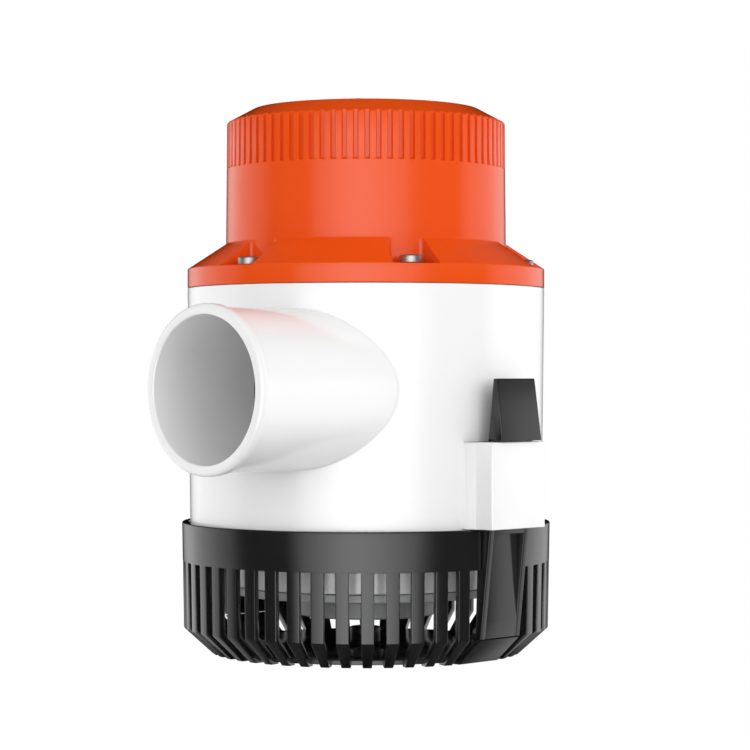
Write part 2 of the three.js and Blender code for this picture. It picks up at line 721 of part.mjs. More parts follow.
// One brush with its box and spring, on the +X side of the commutator.
function brushSet(number) {
  const low = BRUSH_PLATE_TOP + GAP;
  const high = low + 12;
  const boxIn = COMMUTATOR_R + 2.5;
  const boxOut = MOTOR_R - CAN_WALL - 1.5;
  const holder = cut(
    box([boxIn, boxOut], [-4.5, 4.5], [low, high]),
    box([boxIn - 1, boxOut - 1], [-3.3, 3.3], [low + 1.2, high - 1.2]),
  );
  const brushOut = boxIn + 8.5;
  const brush = box([COMMUTATOR_R + GAP, brushOut], [-3, 3], [low + 1.5, high - 1.5]);
  const turns = 4;
  const coilR = 2.4;
  const start = brushOut + 0.8;
  const run = boxOut - 2 - start;
  const middle = (low + high) / 2;
  const path = new THREE.CatmullRomCurve3(
    Array.from({ length: turns * 6 + 1 }, (_, i) => {
      const a = (i * Math.PI) / 3;
      const along = start + (run * i) / (turns * 6);
      return new THREE.Vector3(along, coilR * Math.cos(a), middle + coilR * Math.sin(a));
    }),
  );
  const wire = new THREE.Shape();
  wire.absarc(0, 0, 0.35, 0, 2 * Math.PI, false);
  const spring = new THREE.ExtrudeGeometry(wire, { steps: turns * 7, extrudePath: path, curveSegments: 2 });
  return [
    piece("brush_box_" + number, holder, BRASS),
    piece("brush_" + number, brush, CARBON),
    piece("brush_spring_" + number, solid(spring), STAINLESS),
  ];
}

function brushPlate() {
  const top = BRUSH_PLATE_TOP;
  const disc = ring(COMMUTATOR_R + 2.5, MOTOR_R - CAN_WALL - GAP, top - 2.5, top, INNER_ROUND);
  return piece("brush_plate", cut(disc, boltHoles(top - 4, top + 1)), BLACK_PLASTIC);
}

// The through bolts stand in the gaps between the two magnets.
function boltHoles(bottom, top) {
  const hole = cylinder(BOLT_R + GAP, bottom, top, BOLT_CIRCLE, 0, HOLE_ROUND);
  return [90, 270].map((angle) => turnZ(hole, angle));
}

function endBell() {
  const low = CAN_TOP + GAP;
  const plateTop = low + 2.7;
  const cup = BEARING_R + GAP;
  const cupTop = low + BEARING_HEIGHT + 1.4;
  const bell = turned(
    [
      [cup, low],
      [MOTOR_R, low],
      [MOTOR_R, plateTop],
      [cup + 1.7, plateTop],
      [cup + 1.7, cupTop + 1.4],
      [SHAFT_R + 1, cupTop + 1.4],
      [SHAFT_R + 1, cupTop],
      [cup, cupTop],
    ],
    INNER_ROUND,
  );
  return piece("end_bell", cut(bell, boltHoles(low - 1, plateTop + 1)), STEEL);
}

function throughBolt(name) {
  const headBottom = CAN_TOP + 2 * GAP + 2.7;
  const shank = cylinder(BOLT_R, CAN_BOTTOM + 2 + GAP, headBottom + 0.1, 0, 0, HOLE_ROUND);
  const head = cylinder(2 * BOLT_R, headBottom, headBottom + 2.2, 0, 0, 16);
  return piece(name, join(shank, head), STAINLESS);
}

// ---- Cap ----

function motorCap() {
  const base = BODY_TOP + GAP / 2;
  const rimZ = BODY_TOP + CAP_RIM;
  const neckZ = rimZ + CONE_RISE;
  const crownZ = neckZ + NECK_HEIGHT;
  const topZ = crownZ + CROWN_RISE;
  const neckIn = MOTOR_R + NECK_ROOM;
  const neckOut = neckIn + CAP_WALL;
  const crownOut = neckOut - CROWN_RUN;
  const cap = turned(
    [
      [0, base],
      [BODY_R, base],
      [BODY_R, rimZ],
      [neckOut, neckZ],
      [neckOut - 0.3, crownZ],
      [crownOut - 0.3, topZ],
      [0, topZ],
    ],
    FLUTE_COUNT,
  );
  const hollow = turned(
    [
      [0, base - 1],
      [neckIn, base - 1],
      [neckIn - 0.3, crownZ - 1.6],
      [crownOut - 1.3, topZ - CAP_WALL],
      [0, topZ - CAP_WALL],
    ],
    INNER_ROUND,
  );
  // Each flute is cut across the middle of one facet, and runs out through the crown's slope.
  const fluteFloor = (neckOut - 0.3) * Math.cos(Math.PI / FLUTE_COUNT) - FLUTE_DEPTH;
  const flute = box(
    [fluteFloor, neckOut + 2],
    [-FLUTE_WIDTH / 2, FLUTE_WIDTH / 2],
    [crownZ - FLUTE_HEIGHT, crownZ + CROWN_RISE],
  );
  const flutes = around(FLUTE_COUNT, 180 / FLUTE_COUNT, (angle) => turnZ(flute, angle));
  const pocketTool = sector(neckOut + 0.1, BODY_R + 4, POCKET_HALF_ANGLE, rimZ - 0.2, neckZ + 2);
  const pockets = around(SCREW_COUNT, -90, (angle) => turnZ(pocketTool, angle));
  const holes = around(SCREW_COUNT, -90, (angle) =>
    turnZ(cylinder(SCREW_R + GAP, base - 1, rimZ + 1, SCREW_CIRCLE, 0, HOLE_ROUND), angle),
  );
  const glandHole = cylinder(GLAND_R - 1.5 + GAP, topZ - CAP_WALL - 1, topZ + 1, GLAND_OFFSET);
  return piece("motor_cap", cut(cap, hollow, flutes, pockets, holes, glandHole), ORANGE_PLASTIC);
}

// The cable gland: a rubber nipple above the cap, its tip left small to be cut to the cable's size, and
// a nut that holds it from inside.
function glandPieces() {
  const seat = CAP_TOP + GAP;
  const tip = CAP_TOP + GLAND_RISE;
  const neck = GLAND_R - 1.5;
  const under = CAP_TOP - CAP_WALL - GAP;
  const boot = turned(
    [
      [GLAND_BORE_R, under - 5],
      [neck, under - 5],
      [neck, seat],
      [GLAND_R, seat],
      [GLAND_R, seat + 1.1],
      [GLAND_R - 2.4, seat + 1.9],
      [GLAND_TIP_R, tip],
      [GLAND_BORE_R, tip],
    ],
    SMALL_ROUND,
  );
  const nut = cut(
    cylinder(GLAND_R + 1.2, under - 3.4, under, 0, 0, 6),
    cylinder(neck + GAP, under - 4, under + 1),
  );
  const pieces = [piece("cable_gland", boot, RUBBER), piece("gland_nut", nut, BRASS)];
  pieces.forEach((mesh) => mesh.position.setX(GLAND_OFFSET));
  return pieces;
}

// A cheese-head screw with a cross recess, its head's underside at z = 0.
function flangeScrew(name) {
  const h = SCREW_HEAD_HEIGHT;
  const head = turned(
    [
      [0, 0],
      [SCREW_HEAD_R, 0],
      [SCREW_HEAD_R, h - 0.4],
      [SCREW_HEAD_R - 0.4, h],
      [0, h],
    ],
    SMALL_ROUND,
  );
  const shank = cylinder(SCREW_R, -SCREW_LENGTH, 0.2, 0, 0, HOLE_ROUND);
  const arm = 0.55 * SCREW_HEAD_R;
  const recess = [
    box([-arm, arm], [-0.45, 0.45], [0.45 * h, h + 1]),
    box([-0.45, 0.45], [-arm, arm], [0.45 * h, h + 1]),
  ];
  return piece(name, cut(join(head, shank), recess), STAINLESS);
}

// ---- Assembly ----

const pump = new THREE.Group();

const rightLatch = latchFinger("latch_finger_right");
const leftLatch = latchFinger("latch_finger_left");
leftLatch.rotation.z = Math.PI;
pump.add(strainerBasket(), rightLatch, leftLatch, pumpBody(), suctionPlate());
pump.add(oring("body_seal", SHELF_TOP), oring("cap_seal", FLANGE_TOP));

const rotor = new THREE.Group();
rotor.add(shaft(), impeller(), impellerNut(), ...armature());
pump.add(rotor);

function bearing(name, bottom) {
  return ringPiece(name, SHAFT_R + GAP, BEARING_R, bottom, bottom + BEARING_HEIGHT, STAINLESS);
}

pump.add(motorBarrel(), ...sealPieces(), motorCan(), brushPlate(), endBell());
pump.add(bearing("bearing_lower", CAN_BOTTOM + 2 + GAP), bearing("bearing_upper", CAN_TOP + 2 * GAP));
pump.add(
  ringPiece(
    "lower_cushion",
    SEAL_R + 5,
    BARREL_IN - 5,
    BARREL_BOTTOM + BARREL_FLOOR + GAP,
    CAN_BOTTOM - GAP,
    RUBBER,
  ),
  ringPiece(
    "top_cushion",
    SHAFT_R + 2,
    BEARING_R + 2,
    CAN_TOP + BEARING_HEIGHT + 4,
    CAP_TOP - CAP_WALL - 10,
    RUBBER,
  ),
);

[1, 2].forEach((number) => {
  const half = new THREE.Group();
  half.rotation.z = Math.PI * (number - 1);
  const bolt = throughBolt("through_bolt_" + number);
  bolt.position.set(0, BOLT_CIRCLE, 0);
  half.add(magnet("magnet_" + number), ...brushSet(number), bolt);
  pump.add(half);
});

pump.add(motorCap(), ...glandPieces());
for (let i = 0; i < SCREW_COUNT; i++) {
  const angle = (2 * Math.PI * i) / SCREW_COUNT - Math.PI / 2;
  const screw = flangeScrew("flange_screw_" + (i + 1));
  screw.position.set(
    SCREW_CIRCLE * Math.cos(angle),
    SCREW_CIRCLE * Math.sin(angle),
    BODY_TOP + CAP_RIM - 0.2 + GAP,
  );
  pump.add(screw);
}

export default pump;
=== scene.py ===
"""A submersible bilge pump: white body with a side outlet, orange motor cap, black clip-on strainer.

New pieces are surfaces worked out in millimetres as numpy arrays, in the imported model's own frame: +Z up the
pump's axis, -Y out of the outlet, and the two latches on the X axis.
"""

import json
import math

import bmesh
import bpy
import numpy as np
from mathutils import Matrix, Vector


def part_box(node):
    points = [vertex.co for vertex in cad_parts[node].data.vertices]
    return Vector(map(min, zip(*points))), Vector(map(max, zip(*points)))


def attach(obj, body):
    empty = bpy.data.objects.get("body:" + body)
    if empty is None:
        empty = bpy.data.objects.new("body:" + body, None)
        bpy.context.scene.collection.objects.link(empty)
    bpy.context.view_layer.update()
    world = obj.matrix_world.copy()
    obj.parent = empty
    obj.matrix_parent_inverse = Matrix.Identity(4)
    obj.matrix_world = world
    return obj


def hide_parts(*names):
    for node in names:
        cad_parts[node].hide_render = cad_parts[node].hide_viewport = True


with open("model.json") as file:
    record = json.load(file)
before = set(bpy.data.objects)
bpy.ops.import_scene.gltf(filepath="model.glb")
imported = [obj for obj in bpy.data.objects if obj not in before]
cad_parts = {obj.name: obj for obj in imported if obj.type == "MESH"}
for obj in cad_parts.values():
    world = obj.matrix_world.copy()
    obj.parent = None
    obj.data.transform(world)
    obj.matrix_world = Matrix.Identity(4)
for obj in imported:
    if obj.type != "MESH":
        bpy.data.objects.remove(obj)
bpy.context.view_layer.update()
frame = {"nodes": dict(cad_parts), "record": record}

# ---------------------------------------------------------------------------------------------------------
# The studio: a camera level with the middle of the pump, 44 degrees round from the outlet, a white floor
# and backdrop, and soft light from the front and from behind, with darker stretches between them that
# give the gloss its long upright bands.

VIEW_ANGLE = math.radians(44.3)
CAMERA_DISTANCE = 0.8213
CAMERA_HEIGHT = 0.0920
CAMERA_ASIDE = 0.0030
LENS = 118.85

camera = bpy.data.objects.new("camera", bpy.data.cameras.new("camera"))
camera.data.lens = LENS
camera.data.sensor_width = 36
camera.data.shift_y = -2.28 / 750
camera.data.clip_start = 0.01
ahead = np.array([math.sin(VIEW_ANGLE), -math.cos(VIEW_ANGLE), 0])
aside = np.array([math.cos(VIEW_ANGLE), math.sin(VIEW_ANGLE), 0])
camera.location = ahead * CAMERA_DISTANCE + aside * CAMERA_ASIDE + np.array([0, 0, CAMERA_HEIGHT])
camera.rotation_euler = (math.pi / 2, 0, VIEW_ANGLE)
bpy.context.scene.collection.objects.link(camera)
bpy.context.scene.camera = camera
bpy.context.scene.view_settings.view_transform = "Standard"


def new_nodes(owner):
    """An empty node tree on a material or world, with the function that adds a node to it."""
    owner.use_nodes = True
    tree = owner.node_tree
    tree.nodes.clear()
    return tree, tree.nodes.new, tree.links.new


def level_ramp(add, stops):
    """A ramp from 0 to 1 through (position, brightness) stops."""
    ramp = add("ShaderNodeValToRGB")
    elements = ramp.color_ramp.elements
    elements.remove(elements[0])
    for number, (place, level) in enumerate(stops):
        stop = elements[0] if number == 0 else elements.new(place)
        stop.position = place
        stop.color = (level, level, level, 1)
    return ramp


# Degrees round from the camera, positive to its right, and what a gloss reflects from there.
REFLECTED = (
    (-180, 0.0), (-166, 0.0), (-152, 0.25), (-140, 0.39), (-112, 0.35), (-92, 0.21), (-85, 0.05), (-78, 0.0),
    (-49, 0.0), (-44, 0.16), (-39, 0.40), (-26, 0.67), (-15, 0.93), (-4, 1.0), (6, 0.90), (18, 0.70),
    (31, 0.42), (37, 0.17), (44, 0.02), (50, 0.0), (80, 0.0), (87, 0.2), (94, 0.34), (132, 0.36),
    (152, 0.25), (166, 0.0), (180, 0.0),
)
REFLECTED_PEAK = 3.8
# How much of it is left from straight below (0) through level (0.5) to straight above (1).
REFLECTED_HEIGHTS = (
    (0, 0.06), (0.12, 0.1), (0.3, 1), (0.55, 1), (0.6, 0.3), (0.76, 0.2), (0.86, 0.1), (0.93, 0.02),
    (1, 0.02),
)
ROOM_HEIGHTS = ((0, 0.8), (0.5, 1), (0.62, 0.93), (0.8, 0.5), (1, 0.15))
ROOM_LEFT, ROOM_RIGHT, ROOM_STRENGTH = 0.90, 1.22, 1.73


def studio_world():
    """Diffuse rays meet an even white room, a little brighter to the right and dimmer overhead. Reflections
    meet upright panels: the brightness is a ramp of the compass angle times a ramp of the elevation."""
    world = bpy.data.worlds.new("studio")
    bpy.context.scene.world = world
    tree, add, link = new_nodes(world)
    direction = add("ShaderNodeTexCoord")
    turn = add("ShaderNodeMapping")
    turn.inputs["Rotation"].default_value = (0, 0, -VIEW_ANGLE)
    parts = add("ShaderNodeSeparateXYZ")
    flip = add("ShaderNodeMath")
    flip.operation = "MULTIPLY"
    flip.inputs[1].default_value = -1
    angle = add("ShaderNodeMath")
    angle.operation = "ARCTAN2"
    share = add("ShaderNodeMapRange")
    share.inputs["From Min"].default_value = -math.pi
    share.inputs["From Max"].default_value = math.pi
    panels = level_ramp(add, [((degrees + 180) / 360, level) for degrees, level in REFLECTED])
    rise = add("ShaderNodeMapRange")
    rise.inputs["From Min"].default_value = -1
    heights = level_ramp(add, REFLECTED_HEIGHTS)
    both = add("ShaderNodeMix")
    both.data_type, both.blend_type = "RGBA", "MULTIPLY"
    both.inputs["Factor"].default_value = 1
    overhead = level_ramp(add, ROOM_HEIGHTS)
    sideways = add("ShaderNodeMapRange")
    sideways.inputs["From Min"].default_value = -1
    sideways.inputs["To Min"].default_value = ROOM_LEFT
    sideways.inputs["To Max"].default_value = ROOM_RIGHT
    room = add("ShaderNodeMix")
    room.data_type, room.blend_type = "RGBA", "MULTIPLY"
    room.inputs["Factor"].default_value = 1
    glossy, diffuse, white = (add("ShaderNodeBackground") for _ in range(3))
    glossy.inputs["Strength"].default_value = REFLECTED_PEAK
    diffuse.inputs["Strength"].default_value = ROOM_STRENGTH
    white.inputs["Color"].default_value = (1, 1, 1, 1)
    ray = add("ShaderNodeLightPath")
    soft, seen = add("ShaderNodeMixShader"), add("ShaderNodeMixShader")
    out = add("ShaderNodeOutputWorld")
    link(direction.outputs["Generated"], turn.inputs["Vector"])
    link(turn.outputs["Vector"], parts.inputs["Vector"])
    link(parts.outputs["Y"], flip.inputs[0])
    link(parts.outputs["X"], angle.inputs[0])
    link(flip.outputs["Value"], angle.inputs[1])
    link(angle.outputs["Value"], share.inputs["Value"])
    link(share.outputs["Result"], panels.inputs["Fac"])
    link(parts.outputs["Z"], rise.inputs["Value"])
    link(rise.outputs["Result"], heights.inputs["Fac"])
    link(rise.outputs["Result"], overhead.inputs["Fac"])
    link(panels.outputs["Color"], both.inputs["A"])
    link(heights.outputs["Color"], both.inputs["B"])
    link(parts.outputs["X"], sideways.inputs["Value"])
    link(overhead.outputs["Color"], room.inputs["A"])
    link(sideways.outputs["Result"], room.inputs["B"])
    link(both.outputs["Result"], glossy.inputs["Color"])
    link(room.outputs["Result"], diffuse.inputs["Color"])
    link(ray.outputs["Is Diffuse Ray"], soft.inputs["Fac"])
    link(glossy.outputs["Background"], soft.inputs[1])
    link(diffuse.outputs["Background"], soft.inputs[2])
    link(ray.outputs["Is Camera Ray"], seen.inputs["Fac"])
    link(soft.outputs["Shader"], seen.inputs[1])
    link(white.outputs["Background"], seen.inputs[2])
    link(seen.outputs["Shader"], out.inputs["Surface"])


studio_world()


def soft_light(name, degrees, distance, height, width, tall, watts):
    """A rectangular light that faces the pump from a compass direction, measured from the camera's. It
    doesn't show in the gloss."""
    lamp = bpy.data.lights.new(name, "AREA")
    lamp.shape = "RECTANGLE"
    lamp.size, lamp.size_y, lamp.energy = width, tall, watts
    holder = bpy.data.objects.new(name, lamp)
    way = VIEW_ANGLE + math.radians(degrees)
    holder.location = (distance * math.sin(way), -distance * math.cos(way), height)
    tilt = math.atan2(height - CAMERA_HEIGHT, distance)
    holder.rotation_euler = (math.pi / 2 - tilt, 0, way)
    holder.visible_glossy = False
    bpy.context.scene.collection.objects.link(holder)


soft_light("key", 35, 1.6, 0.7, 0.8, 1.2, 4)
soft_light("fill", -60, 1.6, 0.5, 0.8, 1.2, 1.5)

FLOOR_HALF, FLOOR_DROP = 6, 0.0002
floor_mesh = bpy.data.meshes.new("floor")
floor_corners = np.array([(-1, -1), (1, -1), (1, 1), (-1, 1)]) * FLOOR_HALF
floor_mesh.from_pydata(np.column_stack([floor_corners, np.full(4, -FLOOR_DROP)]), [], [(0, 1, 2, 3)])
floor = bpy.data.objects.new("floor", floor_mesh)
bpy.context.scene.collection.objects.link(floor)
floor_look = bpy.data.materials.new("white floor")
tree, add, link = new_nodes(floor_look)
paint = add("ShaderNodeBsdfDiffuse")
paint.inputs["Color"].default_value = (0.8, 0.8, 0.8, 1)
seen = add("ShaderNodeEmission")
seen.inputs["Strength"].default_value = 1
ray = add("ShaderNodeLightPath")
both = add("ShaderNodeMixShader")
out = add("ShaderNodeOutputMaterial")
link(ray.outputs["Is Camera Ray"], both.inputs["Fac"])
link(paint.outputs["BSDF"], both.inputs[1])
link(seen.outputs["Emission"], both.inputs[2])
link(both.outputs["Shader"], out.inputs["Surface"])
floor_mesh.materials.append(floor_look)
floor.visible_glossy = False

# ---------------------------------------------------------------------------------------------------------
# The pump body: one injection moulding in glossy white plastic. Its round shell tapers a little towards
# the strainer, the outlet leaves it to one side with a small fillet, and a square sleeve on each side
# guides a latch finger. The volute well under it is part of the same moulding.

MM = 0.001


def mm(node):
    """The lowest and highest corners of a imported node, in millimetres."""
    low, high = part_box(node)
    return np.array(low) / MM, np.array(high) / MM


def rounded(corners, steps=5, closed=True):
    """An outline through (x, y, radius) corners. Each corner is a circular arc tangent to both sides: the
    rational curve (S(1-t)^2 + 2wC t(1-t) + E t^2) / ((1-t)^2 + 2w t(1-t) + t^2), with w the sine of half
    the corner's angle."""
    table = np.array(corners, float)
    at, radius = table[:, :2], table[:, 2]
    before = np.roll(at, 1, 0) - at
    after = np.roll(at, -1, 0) - at
    reach_before = np.linalg.norm(before, axis=1, keepdims=True)
    reach_after = np.linalg.norm(after, axis=1, keepdims=True)
    before, after = before / reach_before, after / reach_after
    half = np.arccos(np.clip((before * after).sum(1), -1, 1)) / 2
    length = np.minimum(radius / np.tan(half), 0.48 * np.minimum(reach_before, reach_after)[:, 0])
    if not closed:
        length[[0, -1]] = 0
    t = np.linspace(0, 1, steps + 1)[None, :, None]
    start = (at + before * length[:, None])[:, None]
    end = (at + after * length[:, None])[:, None]
    weight = np.sin(half)[:, None, None]
    top = start * (1 - t) ** 2 + 2 * weight * at[:, None] * t * (1 - t) + end * t**2
    curve = (top / ((1 - t) ** 2 + 2 * weight * t * (1 - t) + t**2)).reshape(-1, 2)
    step = np.linalg.norm(curve - np.roll(curve, 1, 0), axis=1)
    kept = step > 1e-6
    kept[0] = True
    return curve[kept]


def grid(rows, columns, wrap_rows, wrap_columns=True, first=0):
    """Four-sided faces between the neighbours of a grid whose points are numbered row by row."""
    i = np.arange(rows if wrap_rows else rows - 1)[:, None]
    j = np.arange(columns if wrap_columns else columns - 1)[None, :]
    nextrow, nextcolumn = (i + 1) % rows, (j + 1) % columns
    row, nextrow = i * columns, nextrow * columns
    corners = [row + j, row + nextcolumn, nextrow + nextcolumn, nextrow + j]
    return (np.stack(np.broadcast_arrays(*corners), -1).reshape(-1, 4) + first).tolist()


def rings(points, wrap_rows=True):
    """A skin over a rows x columns x 3 array of points, each row a closed ring."""
    rows, columns = points.shape[:2]
    return points.reshape(-1, 3), grid(rows, columns, wrap_rows)


def turned(outline, columns=192):
    """A surface of revolution: (r, z) goes to (r cos a, r sin a, z) for every angle a."""
    a = np.linspace(0, 2 * math.pi, columns, endpoint=False)
    r, z = outline[:, :1], outline[:, 1:]
    points = np.stack(np.broadcast_arrays(r * np.cos(a), r * np.sin(a), z), -1)
    on_axis = outline[0, 0] < 1e-6 and outline[-1, 0] < 1e-6
    return rings(points, wrap_rows=not on_axis)


def bevelled(outline, low, high, bevel, steps=3, place=None, spans=1):
    """An outline drawn out between two heights with rounded rims: near each end the outline moves inwards
    by b(1 - cos t) while the height falls short by b(1 - sin t). place turns (x, y, height) into a point."""
    around = outline if np.cross(outline, np.roll(outline, -1, 0)).sum() > 0 else outline[::-1]
    side = np.roll(around, -1, 0) - around
    side /= np.linalg.norm(side, axis=1, keepdims=True)
    normal = np.stack([side[:, 1], -side[:, 0]], 1)
    outward = normal + np.roll(normal, 1, 0)
    outward /= np.maximum((outward * normal).sum(1, keepdims=True), 0.3)
    t = np.linspace(0, math.pi / 2, steps + 1)
    between = np.linspace(low + bevel, high - bevel, spans + 1)[1:-1]
    inset = np.concatenate([bevel * (1 - np.sin(t)), 0 * between, bevel * (1 - np.sin(t[::-1]))])
    height = np.concatenate([low + bevel * (1 - np.cos(t)), between, high - bevel * (1 - np.cos(t[::-1]))])
    flat = around[None] - outward[None] * inset[:, None, None]
    levels = np.broadcast_to(height[:, None, None], flat.shape[:2] + (1,))
    points = np.concatenate([flat, levels], 2)
    if place is not None:
        points = place(points)
    rows, columns = points.shape[:2]
    caps = [list(range(columns))[::-1], list(range((rows - 1) * columns, rows * columns))]
    return points.reshape(-1, 3), grid(rows, columns, False) + caps


def joined(parts):
    """Several (points, faces) shapes as one."""
    points, faces, first = [], [], 0
    for these_points, these_faces in parts:
        points.append(these_points)
        faces += [[first + corner for corner in face] for face in these_faces]
        first += len(these_points)
    return np.concatenate(points), faces


def spun(shape, angle):
    """A shape turned about the pump's axis."""
    c, s = math.cos(angle), math.sin(angle)
    points, faces = shape
    return points @ np.array([[c, s, 0], [-s, c, 0], [0, 0, 1]]), faces


def mesh_of(name, shape):
    """A mesh in metres from a shape in millimetres, with its doubles merged and its faces outwards."""
    mesh = bpy.data.meshes.new(name)
    mesh.from_pydata(shape[0] * MM, [], shape[1])
    work = bmesh.new()
    work.from_mesh(mesh)
    bmesh.ops.remove_doubles(work, verts=work.verts, dist=2e-7)
    bmesh.ops.recalc_face_normals(work, faces=work.faces)
    work.to_mesh(mesh)
    work.free()
    return mesh


def cut_away(mesh, tool_shape):
    """The mesh with the tool's volume taken out of it."""
    base = bpy.data.objects.new("base", mesh)
    tool = bpy.data.objects.new("tool", mesh_of("tool", tool_shape))
    for item in (base, tool):
        bpy.context.scene.collection.objects.link(item)
    step = base.modifiers.new("cut", "BOOLEAN")
    step.object, step.operation, step.solver = tool, "DIFFERENCE", "EXACT"
    result = bpy.data.meshes.new_from_object(base.evaluated_get(bpy.context.evaluated_depsgraph_get()))
    for item in (base, tool):
        bpy.data.objects.remove(item)
    return result


def piece(name, mesh, look, body, replaced, crease=32):
    """A finished piece: smooth except over the crease angle, riding on its body for the nodes it replaces."""
    mesh.name = name
    thing = bpy.data.objects.new(name, mesh)
    bpy.context.scene.collection.objects.link(thing)
    mesh.materials.clear()
    mesh.materials.append(look)
    mesh.polygons.foreach_set("material_index", [0] * len(mesh.polygons))
    mesh.shade_smooth()
    mesh.set_sharp_from_angle(angle=math.radians(crease))
    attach(thing, body)
    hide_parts(*replaced)
    return thing


def grain_group():
    """Moulded plastic's skin. Slow noise stands for the flow of the melt and shifts colour and roughness;
    fine noise stands for the polished steel's own texture and only tilts the surface."""
    group = bpy.data.node_groups.new("moulded skin", "ShaderNodeTree")
    new = group.interface.new_socket
    for name, value in (("Roughness", 0.3), ("Spread", 0.05), ("Grain size", 0.0004), ("Depth", 0.05)):
        new(name, in_out="INPUT", socket_type="NodeSocketFloat").default_value = value
    new("Flow", in_out="OUTPUT", socket_type="NodeSocketFloat")
    new("Roughness", in_out="OUTPUT", socket_type="NodeSocketFloat")
    new("Normal", in_out="OUTPUT", socket_type="NodeSocketVector")
    add, link = group.nodes.new, group.links.new
    given, out = add("NodeGroupInput"), add("NodeGroupOutput")
    where = add("ShaderNodeTexCoord")
    flow = add("ShaderNodeTexNoise")
    flow.inputs["Scale"].default_value = 45
    flow.inputs["Detail"].default_value = 4
    fine = add("ShaderNodeTexNoise")
    fine.inputs["Detail"].default_value = 3
    size = add("ShaderNodeMath")
    size.operation = "DIVIDE"
    size.inputs[0].default_value = 1
    centred = add("ShaderNodeMath")
    centred.operation = "SUBTRACT"
    centred.inputs[1].default_value = 0.5
    spread = add("ShaderNodeMath")
    spread.operation = "MULTIPLY_ADD"
    bump = add("ShaderNodeBump")
    bump.inputs["Distance"].default_value = 0.0002
    link(where.outputs["Object"], flow.inputs["Vector"])
    link(where.outputs["Object"], fine.inputs["Vector"])
    link(given.outputs["Grain size"], size.inputs[1])
    link(size.outputs["Value"], fine.inputs["Scale"])
    link(flow.outputs["Fac"], centred.inputs[0])
    link(centred.outputs["Value"], spread.inputs[0])
    link(given.outputs["Spread"], spread.inputs[1])
    link(given.outputs["Roughness"], spread.inputs[2])
    link(fine.outputs["Fac"], bump.inputs["Height"])
    link(given.outputs["Depth"], bump.inputs["Strength"])
    link(flow.outputs["Fac"], out.inputs["Flow"])
    link(spread.outputs["Value"], out.inputs["Roughness"])
    link(bump.outputs["Normal"], out.inputs["Normal"])
    return group


MOULDED_SKIN = grain_group()


def plastic(name, light, dark, roughness, spread, grain, depth, gloss=0.5):
    """A moulded plastic between two close colours, with the moulded skin's roughness and grain."""
    look = bpy.data.materials.new(name)
    tree, add, link = new_nodes(look)
    skin = add("ShaderNodeGroup")
    skin.node_tree = MOULDED_SKIN
    values = {"Roughness": roughness, "Spread": spread, "Grain size": grain, "Depth": depth}
    for socket, value in values.items():
        skin.inputs[socket].default_value = value
    tint = add("ShaderNodeMix")
    tint.data_type = "RGBA"
    tint.inputs["A"].default_value = (*dark, 1)
    tint.inputs["B"].default_value = (*light, 1)
    shader = add("ShaderNodeBsdfPrincipled")
    shader.inputs["IOR"].default_value = 1.5
    shader.inputs["Specular IOR Level"].default_value = gloss
    out = add("ShaderNodeOutputMaterial")
    link(skin.outputs["Flow"], tint.inputs["Factor"])
    link(tint.outputs["Result"], shader.inputs["Base Color"])
    link(skin.outputs["Roughness"], shader.inputs["Roughness"])
    link(skin.outputs["Normal"], shader.inputs["Normal"])
    link(shader.outputs["BSDF"], out.inputs["Surface"])
    return look


white_plastic = plastic(
    "white plastic", (0.86, 0.86, 0.86), (0.84, 0.84, 0.84), 0.14, 0.03, 0.0006, 0.02, gloss=0.85
)

body_low, body_high = mm("pump_body")
rim_top = mm("strainer_basket")[1][2]
BODY_R, BODY_TOP, BODY_FOOT = 59.0, body_high[2], 31.5
TAPER = 0.9 / (BODY_TOP - rim_top)
WALL = 3.0
WELL_R, WELL_WALL, WELL_TOP = 44.0, 2.5, 34.5
SHELF_TOP, SHELF_IN, SHELF_THICKNESS = BODY_TOP - 3.6, 44.0, 4.9
SEAT_INSET = 2.0


def body_r(z):
    """The shell's outer radius falls evenly from its top to its foot."""
    return BODY_R - (BODY_TOP - z) * TAPER


shell_outline = rounded(
    [
        (body_r(BODY_FOOT), BODY_FOOT, 0.8),
        (BODY_R, BODY_TOP, 0.35),
        (BODY_R - SEAT_INSET, BODY_TOP, 0.3),
        (BODY_R - SEAT_INSET, SHELF_TOP, 0.1),
        (SHELF_IN, SHELF_TOP, 0.3),
        (SHELF_IN, SHELF_TOP - SHELF_THICKNESS, 1),
        (body_r(SHELF_TOP) - WALL, SHELF_TOP - SHELF_THICKNESS - 2, 2),
        (body_r(WELL_TOP) - WALL, WELL_TOP, 2.5),
        (WELL_R - WELL_WALL, WELL_TOP, 1),
        (WELL_R - WELL_WALL, body_low[2], 0.2),
        (WELL_R, body_low[2], 0.3),
        (WELL_R, BODY_FOOT, 2),
    ]
)

OUTLET_X, OUTLET_Z, MOUTH_Y = 22.6, 86.8, body_low[1]
BORE_R, SPIGOT_R, LIP_R, FILLET, BORE_DEPTH = 22.7, 25.0, 26.0, 0.6, 42.0


